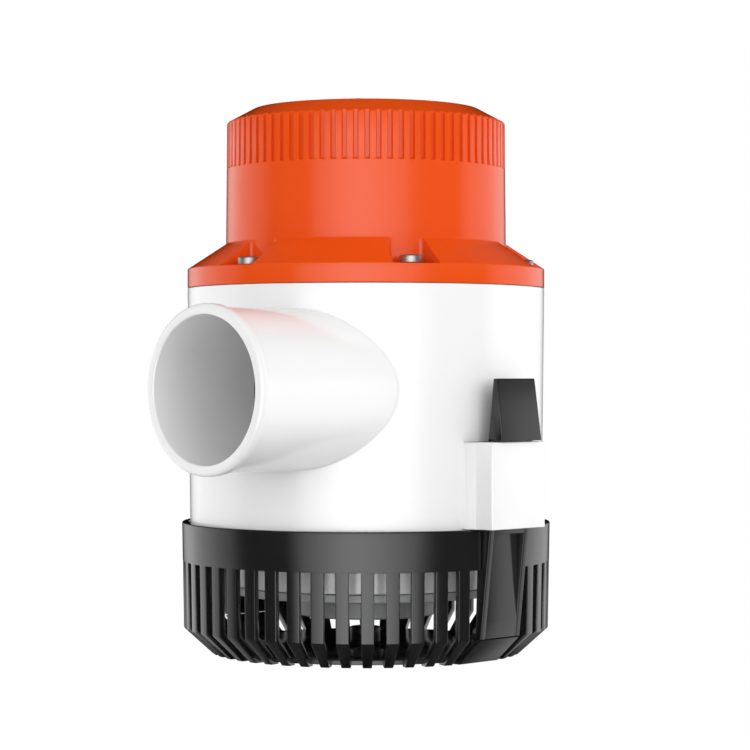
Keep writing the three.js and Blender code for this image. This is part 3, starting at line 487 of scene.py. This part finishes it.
def outlet():
    """Rings round the outlet's axis. The bore runs from a short collar inside the shell to the mouth, the
    lip is a rounded bead, and the spigot runs back to the shell. The fillet is the curve from the spigot
    at a fillet's length before the junction, drawn towards the junction, to the shell a fillet's length
    beside it. The collar's end is the further in of the inside wall and a flat plane."""
    phi = np.linspace(0, 2 * math.pi, 144, endpoint=False)

    def on_shell(radius, depth=0.0):
        x, z = OUTLET_X + radius * np.cos(phi), OUTLET_Z + radius * np.sin(phi)
        return np.stack([x, -np.sqrt((body_r(z) - depth) ** 2 - x**2), z], -1)

    def at_depth(radius, distance):
        ring = np.stack([OUTLET_X + radius * np.cos(phi), 0 * phi, OUTLET_Z + radius * np.sin(phi)], -1)
        ring[:, 1] = MOUTH_Y + distance
        return ring

    lip = rounded(
        [
            (BORE_R, 9, 0),
            (BORE_R, 0, 0.5),
            (LIP_R, 0, 1.3),
            (LIP_R, 3.1, 0.4),
            (SPIGOT_R, 3.7, 0.3),
            (SPIGOT_R, 8, 0),
        ],
        steps=7,
        closed=False,
    )

    def collar_end(radius):
        ring = on_shell(radius, WALL)
        ring[:, 1] = np.maximum(ring[:, 1], MOUTH_Y + BORE_DEPTH) + 0.02
        return ring

    rows = [collar_end(BORE_R)] + [at_depth(r, depth) for r, depth in lip]
    junction = on_shell(SPIGOT_R)
    before, beside = junction - (0, FILLET, 0), on_shell(SPIGOT_R + FILLET, 0.01)
    start = rows[-1]
    rows += [start + (before - start) * t for t in np.linspace(0.125, 1, 8)]
    for t in np.linspace(0.1, 1, 10):
        rows.append(before * (1 - t) ** 2 + 2 * junction * t * (1 - t) + beside * t**2)
    rows += [on_shell(SPIGOT_R + FILLET - 0.2, 1.0), on_shell(SPIGOT_R, WALL - 0.3), collar_end(SPIGOT_R)]
    return rings(np.stack(rows))


SLEEVE_LOW, SLEEVE_HIGH = rim_top + 0.2, mm("latch_finger_right")[1][2] - 19.8
SLEEVE_OUT, SLEEVE_HALF, SLEEVE_WALL = body_high[0], 12.6, 1.7


def sleeve():
    """A channel open to the body, in plan: outer and inner corners rounded, and a concave curve where each
    side wall runs into the shell."""
    base = math.sqrt(body_r(SLEEVE_LOW) ** 2 - SLEEVE_HALF**2)
    inner = SLEEVE_HALF - SLEEVE_WALL
    half = [
        (base - 3.5, SLEEVE_HALF + 2.4, 0),
        (base - 0.5, SLEEVE_HALF + 2.4, 0),
        (base + 0.7, SLEEVE_HALF, 2.2),
        (SLEEVE_OUT, SLEEVE_HALF, 0.7),
    ]
    back = [(SLEEVE_OUT - SLEEVE_WALL, inner, 0.5), (base - 2.2, inner, 0)]
    outline = [(x, -y, r) for x, y, r in half] + half[::-1] + back + [(x, -y, r) for x, y, r in back[::-1]]
    return bevelled(rounded(outline), SLEEVE_LOW, SLEEVE_HIGH, 0.35)


RECESS_BACK, RECESS_FACE, RECESS_END, RECESS_HALF, RECESS_SIDE = 51.5, 53.6, 57.0, 9.9, 2.3


def recess_wall():
    """The wall is set back behind each finger: a tray in plan, and a lid over it."""
    outer = RECESS_HALF + RECESS_SIDE
    tray = [
        (RECESS_BACK, -outer, 1), (RECESS_END, -outer, 0), (RECESS_END, -RECESS_HALF, 0),
        (RECESS_FACE, -RECESS_HALF, 0.4), (RECESS_FACE, RECESS_HALF, 0.4), (RECESS_END, RECESS_HALF, 0),
        (RECESS_END, outer, 0), (RECESS_BACK, outer, 1),
    ]
    lid = [
        (RECESS_BACK, -outer, 1), (RECESS_END, -outer, 0), (RECESS_END, outer, 0), (RECESS_BACK, outer, 1),
    ]
    return [
        bevelled(rounded(tray), BODY_FOOT + 0.1, SLEEVE_LOW, 0.2),
        bevelled(rounded(lid), SLEEVE_LOW, SLEEVE_LOW + 2.5, 0.2),
    ]


def outlet_opening():
    """A plain cylinder along the outlet's axis: (x, y, z) is laid over to (x, -z, y)."""
    radius, start, end = BORE_R + 1.1, 28, 80
    outline = np.array([(0, start), (radius, start), (radius, end), (0, end)], float)
    points, faces = turned(outline, 96)
    x, y, z = points.T
    return np.column_stack([x + OUTLET_X, -z, y + OUTLET_Z]), faces


def finger_notch():
    """The opening in the shell in front of a recess."""
    low, high = RECESS_FACE - 0.1, 64
    corners = [(low, -RECESS_HALF), (high, -RECESS_HALF), (high, RECESS_HALF), (low, RECESS_HALF)]
    return bevelled(np.array(corners), BODY_FOOT - 2, SLEEVE_LOW, 0.05, steps=1)


shell = cut_away(
    mesh_of("shell", turned(shell_outline, 240)),
    joined([outlet_opening(), finger_notch(), spun(finger_notch(), math.pi)]),
)


def with_shapes(mesh, parts):
    """A mesh with more closed shapes laid into it."""
    extra = mesh_of("extra", joined(parts))
    work = bmesh.new()
    work.from_mesh(mesh)
    work.from_mesh(extra)
    work.to_mesh(mesh)
    work.free()
    bpy.data.meshes.remove(extra)
    return mesh


fittings = [outlet(), sleeve(), spun(sleeve(), math.pi)]
for part in recess_wall():
    fittings += [part, spun(part, math.pi)]
piece(
    "body_shell", with_shapes(shell, fittings), white_plastic, "pump", ["pump_body"]
)

# ---------------------------------------------------------------------------------------------------------
# The motor cap: orange moulding over the motor. A thin rim sits on the body, a cone with six screw pockets
# rises to the neck, and eighty flutes give a grip round the crown.

orange_plastic = plastic(
    "orange plastic", (0.78, 0.077, 0.0065), (0.75, 0.073, 0.006), 0.13, 0.03, 0.0005, 0.02, gloss=0.32
)

cap_low, cap_high = mm("motor_cap")
RIM_Z, NECK_Z = BODY_TOP + 6.3, BODY_TOP + 14.6
CROWN_Z, CAP_TOP = cap_high[2] - 4.7, cap_high[2]
NECK_R, NECK_TOP_R, CROWN_R = 46.3, 46.0, 37.3
FLUTES, FLUTE_HALF, FLUTE_FLOOR, FLUTE_LOW = 80, 0.75, NECK_TOP_R - 0.9, CROWN_Z - 14.9
FLUTE_START, FLUTE_WALL, CAP_WALL, CAP_IN = 0.6, 0.24, 2.7, 43.6
SCREWS, POCKET_HALF, POCKET_MID, POCKET_WALL = 6, math.radians(7.3), 52, 0.4


def smooth(value):
    """0 below 0, 1 above 1, and t t (3 - 2 t) between."""
    t = np.clip(value, 0, 1)
    return t * t * (3 - 2 * t)


def screw_angles():
    """Six screws evenly round the cap, the first over the outlet's direction."""
    return -math.pi / 2 + np.arange(SCREWS) * 2 * math.pi / SCREWS


def cap_shape():
    """The cap's outline turned about the axis, then pressed in. Flutes: where g(a) = 1 the radius comes down
    to the flutes' floor. Pockets: where p(a) = 1 the cone comes down to the rim's level."""
    outline = rounded(
        [
            (CAP_IN, cap_low[2], 0.3),
            (BODY_R, cap_low[2], 0.3),
            (BODY_R, RIM_Z, 0.5),
            (NECK_R, NECK_Z, 0.5),
            (NECK_R, NECK_Z + 1.5, 0),
            (NECK_R - 0.1, (NECK_Z + FLUTE_LOW) / 2, 0),
            (NECK_TOP_R + 0.1, FLUTE_LOW - 1.2, 0),
            (NECK_TOP_R + 0.095, FLUTE_LOW - 0.6, 0),
            (NECK_TOP_R + 0.09, FLUTE_LOW - 0.35, 0),
            (NECK_TOP_R + 0.085, FLUTE_LOW - 0.15, 0),
            (NECK_TOP_R + 0.08, FLUTE_LOW, 0),
            (NECK_TOP_R + 0.075, FLUTE_LOW + 0.15, 0),
            (NECK_TOP_R + 0.07, FLUTE_LOW + 0.35, 0),
            (NECK_TOP_R + 0.03, FLUTE_LOW + 7, 0),
            (NECK_TOP_R, CROWN_Z, 0.8),
            (FLUTE_FLOOR, CROWN_Z + 0.49, 0),
            (CROWN_R, CAP_TOP, 1.6),
            (18, CAP_TOP, 0),
            (0, CAP_TOP, 0),
        ],
        closed=False,
    )
    wall = np.array([0.6, 0.68, 0.75, 0.82, 0.9])
    in_flute = np.concatenate([[-1.8], -wall[::-1], [0], wall]) / NECK_R
    flutes = np.arange(FLUTES)[:, None] * 2 * math.pi / FLUTES + in_flute
    from_edge = np.array([-0.22, -0.12, -0.05, 0.05, 0.12, 0.22]) / POCKET_MID
    edges = np.concatenate([POCKET_HALF + from_edge, -POCKET_HALF - from_edge])
    pockets = screw_angles()[:, None] + edges
    a = np.sort(np.concatenate([flutes.ravel(), pockets.ravel()]) % (2 * math.pi))
    a = a[np.concatenate([[True], np.diff(a) > 1e-5])]
    from_flute = (a * FLUTES / (2 * math.pi) + 0.5) % 1 - 0.5
    across = np.abs(from_flute) * 2 * math.pi / FLUTES * NECK_R
    groove = 1 - smooth((across - FLUTE_HALF) / FLUTE_WALL + 0.5)
    from_screw = np.abs((a[:, None] - screw_angles()[None] + math.pi) % (2 * math.pi) - math.pi).min(1)
    pocket = 1 - smooth((from_screw - POCKET_HALF) * POCKET_MID / POCKET_WALL + 0.5)
    r, z = np.broadcast_to(outline[:, :1], (len(outline), len(a))), outline[:, 1:]
    start = smooth((z - FLUTE_LOW) / FLUTE_START + 0.5)
    r = r - groove[None] * start * np.maximum(r - FLUTE_FLOOR, 0)
    on_cone = (outline[:, :1] > NECK_R + 0.02) & (z > RIM_Z - 0.2)
    z = z - np.where(on_cone, np.maximum(z - (RIM_Z - 0.15), 0), 0) * pocket[None]
    inner = rounded(
        [
            (0, CAP_TOP - CAP_WALL, 0),
            (CROWN_R - 1.5, CAP_TOP - CAP_WALL, 2),
            (CAP_IN - 0.3, CROWN_Z - 1.6, 2),
            (CAP_IN, cap_low[2], 0),
        ],
        steps=3,
        closed=False,
    )[:-1]
    r = np.concatenate([r, np.broadcast_to(inner[:, :1], (len(inner), len(a)))])
    z = np.concatenate([z, np.broadcast_to(inner[:, 1:], (len(inner), len(a)))])
    points = np.stack([r * np.cos(a), r * np.sin(a), z], -1)
    return rings(points)


def corner_fillets():
    """Each pocket's walls meet the neck in a small upright fillet: a corner with a hollow quarter circle of
    radius f, drawn up from the rim to the cone, whose height falls evenly with the radius."""
    f, sunk = 1.5, 0.4
    t = np.linspace(0, math.pi / 2, 7)
    hollow = np.stack([f - f * np.sin(t), f - f * np.cos(t)], 1)
    outline = np.concatenate([[(-sunk, -sunk), (f, -sunk)], hollow, [(-sunk, f)]])

    def upright(points):
        x, y, share = points[..., 0], points[..., 1], points[..., 2]
        top = NECK_Z - x * (NECK_Z - RIM_Z) / (BODY_R - NECK_R) - 0.05
        return np.stack([NECK_R + x, y, RIM_Z - 0.3 + share * (top - RIM_Z + 0.3)], -1)

    points, faces = bevelled(outline, 0, 1, 0.001, steps=1, place=upright)
    shapes = []
    for angle in screw_angles():
        for side in (-1, 1):
            corner = points * (1, -side, 1) + (0, side * 0.02, 0)
            shapes.append(spun((corner, faces), angle + side * POCKET_HALF))
    return shapes


cap_mesh = with_shapes(mesh_of("cap", cap_shape()), corner_fillets())
piece("motor_cap_shell", cap_mesh, orange_plastic, "pump", ["motor_cap"])

# ---------------------------------------------------------------------------------------------------------
# The strainer basket: black moulding that the pump clips into. A solid band joins forty-two slats, which
# turn in at a chamfer and stand on the hull as small feet, and a flat root carries each latch finger.

black_plastic = plastic(
    "black plastic", (0.014, 0.014, 0.014), (0.012, 0.012, 0.012), 0.15, 0.03, 0.0005, 0.02
)

RIM_R, SLAT_R, BOTTOM_R, CHAMFER_Z = 60.8, 60.2, 51.0, 8.4
BAND_LOW, FLOOR_LOW, FLOOR_HIGH = 30.3, 0.8, 2.3
STRAINER_WALL, SLOT, SLATS = 2.3, 3.75, 48
SLAT_PITCH = 2 * math.pi / SLATS
FOOT, FLOOR_R, PAD_R = 3.6, 49.8, 14
LATCH_HALF, LATCH_SLIT, CHAMFER_RUN = 9.2, 0.35, 9.2


def outer_r(z):
    """The strainer's outer radius over the chamfer, rising a little to the rim."""
    return SLAT_R + (RIM_R - SLAT_R) * (z - CHAMFER_Z) / (rim_top - CHAMFER_Z)


def slat(number):
    """A slat's side outline, drawn out across its width. A point at radius r and sideways place u goes to
    (sqrt(r r - u u), u), so the slat's face follows the strainer's circle. Its half width is
    r sin(pitch / 2) less half a slot."""
    outline = rounded(
        [
            (outer_r(BAND_LOW + 1) - 0.01, BAND_LOW + 1, 0),
            (SLAT_R, CHAMFER_Z, 0.5),
            (BOTTOM_R, 0, 0.4),
            (BOTTOM_R - FOOT, 0, 0.2),
            (BOTTOM_R - FOOT, FLOOR_HIGH - 0.5, 0),
            (50.1, FLOOR_HIGH, 0),
            (57.9, 9.4, 0.5),
            (outer_r(BAND_LOW + 1) - STRAINER_WALL, BAND_LOW + 1, 0),
        ],
        steps=3,
    )

    def place(points):
        r, z, share = points[..., 0], points[..., 1], points[..., 2]
        u = share * (r * math.sin(SLAT_PITCH / 2) - SLOT / 2)
        return np.stack([np.sqrt(r**2 - u**2), u, z], -1)

    shape = bevelled(outline, -1, 1, 0.16, steps=3, place=place)
    return spun(shape, number * SLAT_PITCH)


def band():
    """Half of the band above the slots: its section drawn out along the arc from one latch's slit to the
    other's. At radius r the arc starts at asin(h / r), so both ends are flat and h from the middle."""
    outline = rounded(
        [
            (outer_r(BAND_LOW), BAND_LOW, 0.15),
            (RIM_R, rim_top, 0.45),
            (RIM_R - STRAINER_WALL, rim_top, 0.45),
            (outer_r(BAND_LOW) - STRAINER_WALL, BAND_LOW, 0.15),
        ],
        steps=4,
    )
    half_slit = LATCH_HALF + LATCH_SLIT
    length = (math.pi - 2 * math.asin(half_slit / RIM_R)) * RIM_R

    def curl(points):
        r, z, share = points[..., 0], points[..., 1], points[..., 2] / length
        start = np.arcsin(half_slit / r)
        a = start + share * (math.pi - 2 * start)
        return np.stack([r * np.cos(a), r * np.sin(a), z], -1)

    return bevelled(outline, 0, length, 0.25, place=curl, spans=120)


def sideways(points):
    """An outline in (distance out, height), drawn out sideways."""
    return np.stack([points[..., 0], points[..., 2], points[..., 1]], -1)


ROOT_FRONT = math.sqrt(SLAT_R**2 - LATCH_HALF**2) - 0.2


def latch_root():
    """A flat-fronted block that rises along the chamfer to just under the finger."""
    front, inside = ROOT_FRONT, BOTTOM_R - 5.6
    outline = [
        (inside, 0, 0),
        (front - CHAMFER_RUN, 0, 0.3),
        (front, CHAMFER_Z - 0.15, 0.15),
        (front - 2.0, CHAMFER_Z - 0.2, 0.5),
        (front - 2.6, CHAMFER_Z - 0.7, 0.3),
        (front - CHAMFER_RUN - 0.3, FLOOR_HIGH, 0.8),
        (inside, FLOOR_HIGH, 0),
    ]
    return bevelled(rounded(outline, steps=3), -LATCH_HALF, LATCH_HALF, 0.25, place=sideways)


HULL_SCREWS, HULL_SCREW_R, COLLAR_R, COLLAR_TOP = 34, 2.4, 5.3, 4.5


def strainer_floor():
    """The floor disc with its centre pad, and a collar round each of the four countersunk screw holes."""
    disc = turned(
        rounded(
            [
                (0, 0, 0),
                (PAD_R, 0, 0.3),
                (PAD_R, FLOOR_LOW, 0.3),
                (FLOOR_R, FLOOR_LOW, 0.15),
                (FLOOR_R, FLOOR_HIGH, 0.15),
                (0, FLOOR_HIGH, 0),
            ],
            steps=3,
            closed=False,
        ),
        144,
    )
    collar = turned(
        rounded(
            [
                (HULL_SCREW_R, 1, 0),
                (COLLAR_R, 1, 0),
                (COLLAR_R, COLLAR_TOP, 0.5),
                (HULL_SCREW_R, COLLAR_TOP, 0.4),
            ],
            steps=3,
        ),
        32,
    )
    sink = HULL_SCREW_R + 2
    hole = turned(
        np.array([(0, -1), (sink, -1), (sink, 0.9), (HULL_SCREW_R, 2), (HULL_SCREW_R, 9), (0, 9)], float), 32
    )
    a = np.radians([45, 135, 225, 315])
    places = np.column_stack([HULL_SCREWS * np.cos(a), HULL_SCREWS * np.sin(a), 0 * a])
    mesh = cut_away(mesh_of("floor disc", disc), joined([(hole[0] + place, hole[1]) for place in places]))
    return with_shapes(mesh, [(collar[0] + place, collar[1]) for place in places])


def by_a_latch(number):
    """True for the three slats that a latch's root takes the place of, on each side."""
    half = SLATS // 2
    return min(number % half, half - number % half) <= 1


strainer_parts = [slat(number) for number in range(SLATS) if not by_a_latch(number)]
strainer_parts += [band(), spun(band(), math.pi), latch_root(), spun(latch_root(), math.pi)]
piece(
    "strainer",
    with_shapes(strainer_floor(), strainer_parts),
    black_plastic,
    "pump",
    ["strainer_basket"],
)

# ---------------------------------------------------------------------------------------------------------
# The latch fingers: black, moulded with the strainer and flexing at their root. A web with a rib down each
# side runs up through the body's sleeve to a wedge whose barb rests on the sleeve's edge.

finger_high = mm("latch_finger_right")[1]
HEAD_LOW = SLEEVE_HIGH + 0.3
POCKET_START, POCKET_END, POCKET_DEPTH = 13.6, rim_top - 1.6, 2.8
RIB, WEB, STEM, LEAN, LEDGE = 2.1, 2.1, 2.2, 4.0, 60.4
HEAD_HALF, HEAD_TOP_HALF, HEAD_TOP_THICKNESS = 9.4, 8.8, 1.7


def finger():
    """The web and the ribs are side outlines drawn out sideways; the head narrows upwards on all sides, so
    its width is a straight function of height."""
    low, rim, neck = CHAMFER_Z + 0.15, rim_top, HEAD_LOW + 0.4
    stem_front = SLEEVE_OUT - SLEEVE_WALL - 1.0
    stem_back = stem_front - STEM

    def front_at(z):
        return ROOT_FRONT + LEAN * (z - CHAMFER_Z) / (rim - CHAMFER_Z)

    # The web and the stem stand a hair inside the ribs, so that no two faces share a plane.
    hair = 0.04
    panel = front_at(POCKET_END) - POCKET_DEPTH
    web = [
        (ROOT_FRONT - 2.4, low, 0.2),
        (front_at(low) - hair / 2, low, 0.15),
        (front_at(POCKET_START) - hair / 2, POCKET_START, 1.5),
        (panel, POCKET_END + 0.3, 0),
        (panel - WEB, POCKET_END + 0.3, 0),
    ]
    rib = [
        (ROOT_FRONT - 2.2, low, 0.2),
        (front_at(low), low, 0.15),
        (front_at(rim), rim, 0.4),
        (stem_front, neck, 0),
        (stem_back, neck, 0),
        (LEDGE, rim, 0.3),
        (panel - WEB + 0.1, rim - 0.6, 0.2),
    ]
    stem = [
        (panel - WEB + 0.2, POCKET_END, 0.2),
        (front_at(POCKET_END) - hair, POCKET_END, 0.2),
        (front_at(rim) - hair, rim, 0.4),
        (stem_front - hair, neck, 0),
        (stem_back, neck, 0),
        (LEDGE + hair, rim, 0.3),
        (panel - WEB + 0.2, rim - 0.6, 0.2),
    ]
    web_half = LATCH_HALF - 0.1
    parts = [
        bevelled(rounded(web, steps=3), -web_half, web_half, 0.15, place=sideways),
        bevelled(rounded(rib, steps=3), -LATCH_HALF, -LATCH_HALF + RIB, 0.2, place=sideways),
        bevelled(rounded(rib, steps=3), LATCH_HALF - RIB, LATCH_HALF, 0.2, place=sideways),
        bevelled(rounded(stem, steps=3), -web_half, web_half, 0.15, place=sideways),
    ]
    barb, _, head_top = finger_high
    back_low, back_high = stem_back + 0.2, stem_back + 1.9

    def taper(points):
        x, y, z = points[..., 0], points[..., 1], points[..., 2]
        share = (z - HEAD_LOW) / (head_top - HEAD_LOW)
        back = back_low + (back_high - back_low) * share
        thick = (barb - back_low) * (1 - share) + HEAD_TOP_THICKNESS * share
        width = 1 + (HEAD_TOP_HALF / HEAD_HALF - 1) * share
        return np.stack([back + (x - back_low) / (barb - back_low) * thick, y * width, z], -1)

    head = [
        (back_low, -HEAD_HALF, 0.3),
        (barb, -HEAD_HALF, 0.35),
        (barb, HEAD_HALF, 0.35),
        (back_low, HEAD_HALF, 0.3),
    ]
    parts.append(bevelled(rounded(head), HEAD_LOW, head_top, 0.3, place=taper))
    return joined(parts)


for side, angle in (("right", 0), ("left", math.pi)):
    piece(
        "latch_" + side,
        mesh_of("latch", spun(finger(), angle)),
        black_plastic,
        side + "_latch",
        ["latch_finger_" + side],
    )

# ---------------------------------------------------------------------------------------------------------
# The suction plate: grey-white moulding that closes the volute from below. Its collar dips towards the
# strainer's floor and guides the water into the impeller's eye.

grey_plastic = plastic("grey plastic", (0.50, 0.51, 0.52), (0.46, 0.47, 0.48), 0.22, 0.05, 0.0005, 0.04)
plate_low, plate_high = mm("suction_plate")
PLATE_Z, PLATE_THICKNESS = 19.4, 2.6
EYE_R, EYE_OUT, LOCATOR_IN, LOCATOR_OUT = 19.5, 23.0, 39.4, 41.2
plate_shape = turned(
    rounded(
        [
            (EYE_R, plate_low[2], 0.8),
            (EYE_OUT, plate_low[2], 0.8),
            (EYE_OUT, PLATE_Z, 1.5),
            (WELL_R, PLATE_Z, 0.6),
            (WELL_R, PLATE_Z + PLATE_THICKNESS, 0.2),
            (LOCATOR_OUT, PLATE_Z + PLATE_THICKNESS, 0),
            (LOCATOR_OUT, plate_high[2], 0.3),
            (LOCATOR_IN, plate_high[2], 0.3),
            (LOCATOR_IN, PLATE_Z + PLATE_THICKNESS, 0.3),
            (EYE_R, PLATE_Z + PLATE_THICKNESS, 1),
        ]
    ),
    160,
)
piece(
    "suction_plate_shell",
    mesh_of("plate", plate_shape),
    grey_plastic,
    "pump",
    ["suction_plate"],
)

# ---------------------------------------------------------------------------------------------------------
# The motor barrel: the watertight cup round the motor, seen at the back of the outlet's bore.

barrel_low, barrel_high = mm("motor_barrel")
BARREL_IN, BARREL_OUT, FLANGE_R, SHAFT_HOLE, SEAL_POCKET = 37, 39.5, 56.7, 4.6, 8.3
base, top = barrel_low[2], barrel_high[2]
flange = top - 3
groove = top - 1.9
barrel_shape = turned(
    rounded(
        [
            (SEAL_POCKET, base, 0.3),
            (34, base, 2),
            (BARREL_OUT, base + 4, 3),
            (BARREL_OUT, flange, 1.2),
            (FLANGE_R, flange, 0.3),
            (FLANGE_R, top, 0.3),
            (48.3, top, 0.2),
            (48.3, groove, 0.2),
            (45.3, groove, 0.2),
            (45.3, top, 0.2),
            (BARREL_IN, top, 0.4),
            (BARREL_IN, base + 6.5, 2),
            (33.5, base + 3.5, 2),
            (11.5, base + 3.5, 1),
            (11.5, base + 10, 0.6),
            (SHAFT_HOLE, base + 10, 0.3),
            (SHAFT_HOLE, base + 7.3, 0.2),
            (SEAL_POCKET, base + 7.3, 0.2),
        ],
        steps=3,
    ),
    144,
)
piece("barrel_shell", mesh_of("barrel", barrel_shape), grey_plastic, "pump", ["motor_barrel"])

# ---------------------------------------------------------------------------------------------------------
# The flange screws: six stainless cheese heads with a cross recess, each down in a pocket of the cap.


def metal(name, color, roughness, brushed):
    """A turned or rolled metal: stretched noise makes fine lines that change the roughness and tilt the
    surface a little."""
    look = bpy.data.materials.new(name)
    tree, add, link = new_nodes(look)
    where = add("ShaderNodeTexCoord")
    stretch = add("ShaderNodeMapping")
    stretch.inputs["Scale"].default_value = brushed
    lines = add("ShaderNodeTexNoise")
    lines.inputs["Scale"].default_value = 1
    lines.inputs["Detail"].default_value = 5
    rough = add("ShaderNodeMapRange")
    rough.inputs["To Min"].default_value = roughness - 0.08
    rough.inputs["To Max"].default_value = roughness + 0.08
    shade = add("ShaderNodeMix")
    shade.data_type = "RGBA"
    shade.inputs["A"].default_value = (*(0.88 * c for c in color), 1)
    shade.inputs["B"].default_value = (*color, 1)
    bump = add("ShaderNodeBump")
    bump.inputs["Strength"].default_value = 0.15
    bump.inputs["Distance"].default_value = 0.0001
    shader = add("ShaderNodeBsdfPrincipled")
    shader.inputs["Metallic"].default_value = 1
    out = add("ShaderNodeOutputMaterial")
    link(where.outputs["Object"], stretch.inputs["Vector"])
    link(stretch.outputs["Vector"], lines.inputs["Vector"])
    link(lines.outputs["Fac"], rough.inputs["Value"])
    link(lines.outputs["Fac"], shade.inputs["Factor"])
    link(lines.outputs["Fac"], bump.inputs["Height"])
    link(rough.outputs["Result"], shader.inputs["Roughness"])
    link(shade.outputs["Result"], shader.inputs["Base Color"])
    link(bump.outputs["Normal"], shader.inputs["Normal"])
    link(shader.outputs["BSDF"], out.inputs["Surface"])
    return look


stainless = metal("stainless steel", (0.66, 0.66, 0.66), 0.5, (300, 300, 4000))
HEAD_R, HEAD_RISE, HEAD_ROOM = 3.65, 2.5, 0.5
THREAD_R, THREAD_PITCH, THREAD_DEPTH, SHANK = 1.75, 1.6, 0.25, 22


def screw_mesh():
    """The head is a short drum with a rounded top edge and a cross recess. The shank has a fine thread, its
    radius following a sawtooth of the height."""
    head = rounded([(0, 0, 0), (HEAD_R, 0, 0.2), (HEAD_R, HEAD_RISE, 0.5), (0, HEAD_RISE, 0)], closed=False)
    reach, half, floor_z = 0.55 * HEAD_R, 0.45, 1.35
    arm = np.array([(-reach, -half), (reach, -half), (reach, half), (-reach, half)])
    cross = joined([bevelled(part, floor_z, 4, 0.02, 1) for part in (arm, arm[:, ::-1])])
    mesh = cut_away(mesh_of("head", turned(head, 48)), cross)
    z = np.arange(-SHANK, 0.2, 0.25)
    thread = np.stack([THREAD_R + THREAD_DEPTH * np.abs(z / THREAD_PITCH % 1 * 2 - 1), z], 1)
    outline = np.concatenate([[(0, -SHANK - 0.3)], thread, [(0, 0.2)]])
    return with_shapes(mesh, [turned(outline, 16)])


screw_template = screw_mesh()
screw_points = np.zeros(len(screw_template.vertices) * 3)
screw_template.vertices.foreach_get("co", screw_points)
screw_points = screw_points.reshape(-1, 3) / MM
screw_faces = [list(face.vertices) for face in screw_template.polygons]
for number, angle in enumerate(screw_angles()):
    name = "flange_screw_%d" % (number + 1)
    low, high = mm(name)
    centre = np.array([*((low + high) / 2)[:2], high[2] - HEAD_ROOM - HEAD_RISE])
    points, faces = spun((screw_points, screw_faces), angle * 1.7 + number)
    mesh = mesh_of(name, (points + centre, faces))
    piece(name + "_head", mesh, stainless, "pump", [name])

# ---------------------------------------------------------------------------------------------------------
# The cable gland: a black rubber nipple on top of the cap, left small to be cut to the cable.

rubber = plastic("rubber", (0.030, 0.030, 0.030), (0.018, 0.018, 0.018), 0.62, 0.1, 0.0003, 0.25)
gland_low, gland_high = mm("cable_gland")
gland_centre = np.array([*((gland_low + gland_high) / 2)[:2], 0])
GLAND_BORE, GLAND_NECK, GLAND_FLANGE, GLAND_TIP = 0.6, 4.5, 6, 1.3
gland_shape = turned(
    rounded(
        [
            (GLAND_BORE, gland_low[2], 0),
            (GLAND_NECK, gland_low[2], 0.3),
            (GLAND_NECK, CAP_TOP + 0.3, 0),
            (GLAND_FLANGE, CAP_TOP + 0.3, 0.3),
            (GLAND_FLANGE, CAP_TOP + 1.4, 0.6),
            (3.6, CAP_TOP + 2.2, 0.8),
            (GLAND_TIP, gland_high[2], 0.5),
            (GLAND_BORE, gland_high[2], 0),
        ],
    ),
    72,
)
piece(
    "gland_boot",
    mesh_of("gland", (gland_shape[0] + gland_centre, gland_shape[1])),
    rubber,
    "pump",
    ["cable_gland"],
)

# ---------------------------------------------------------------------------------------------------------
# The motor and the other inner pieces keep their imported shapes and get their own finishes.

steel = metal("plated steel", (0.42, 0.43, 0.45), 0.42, (500, 500, 90))
copper = metal("copper wire", (0.72, 0.33, 0.16), 0.38, (200, 200, 3500))
brass = metal("brass", (0.72, 0.55, 0.24), 0.3, (800, 800, 800))
ferrite = plastic("ferrite", (0.060, 0.060, 0.064), (0.035, 0.035, 0.038), 0.7, 0.15, 0.0002, 0.3)
carbon = plastic("carbon", (0.035, 0.035, 0.036), (0.02, 0.02, 0.021), 0.55, 0.1, 0.0002, 0.2)
finishes = {
    "black_plastic": black_plastic,
    "white_plastic": white_plastic,
    "grey_plastic": grey_plastic,
    "orange_plastic": orange_plastic,
    "rubber": rubber,
    "stainless": stainless,
    "steel": steel,
    "ferrite": ferrite,
    "copper": copper,
    "brass": brass,
    "carbon": carbon,
}
for entry in frame["record"]["subparts"]:
    node = frame["nodes"][entry["node"]]
    for place in node.material_slots:
        place.material = finishes[entry["material_slot"]]
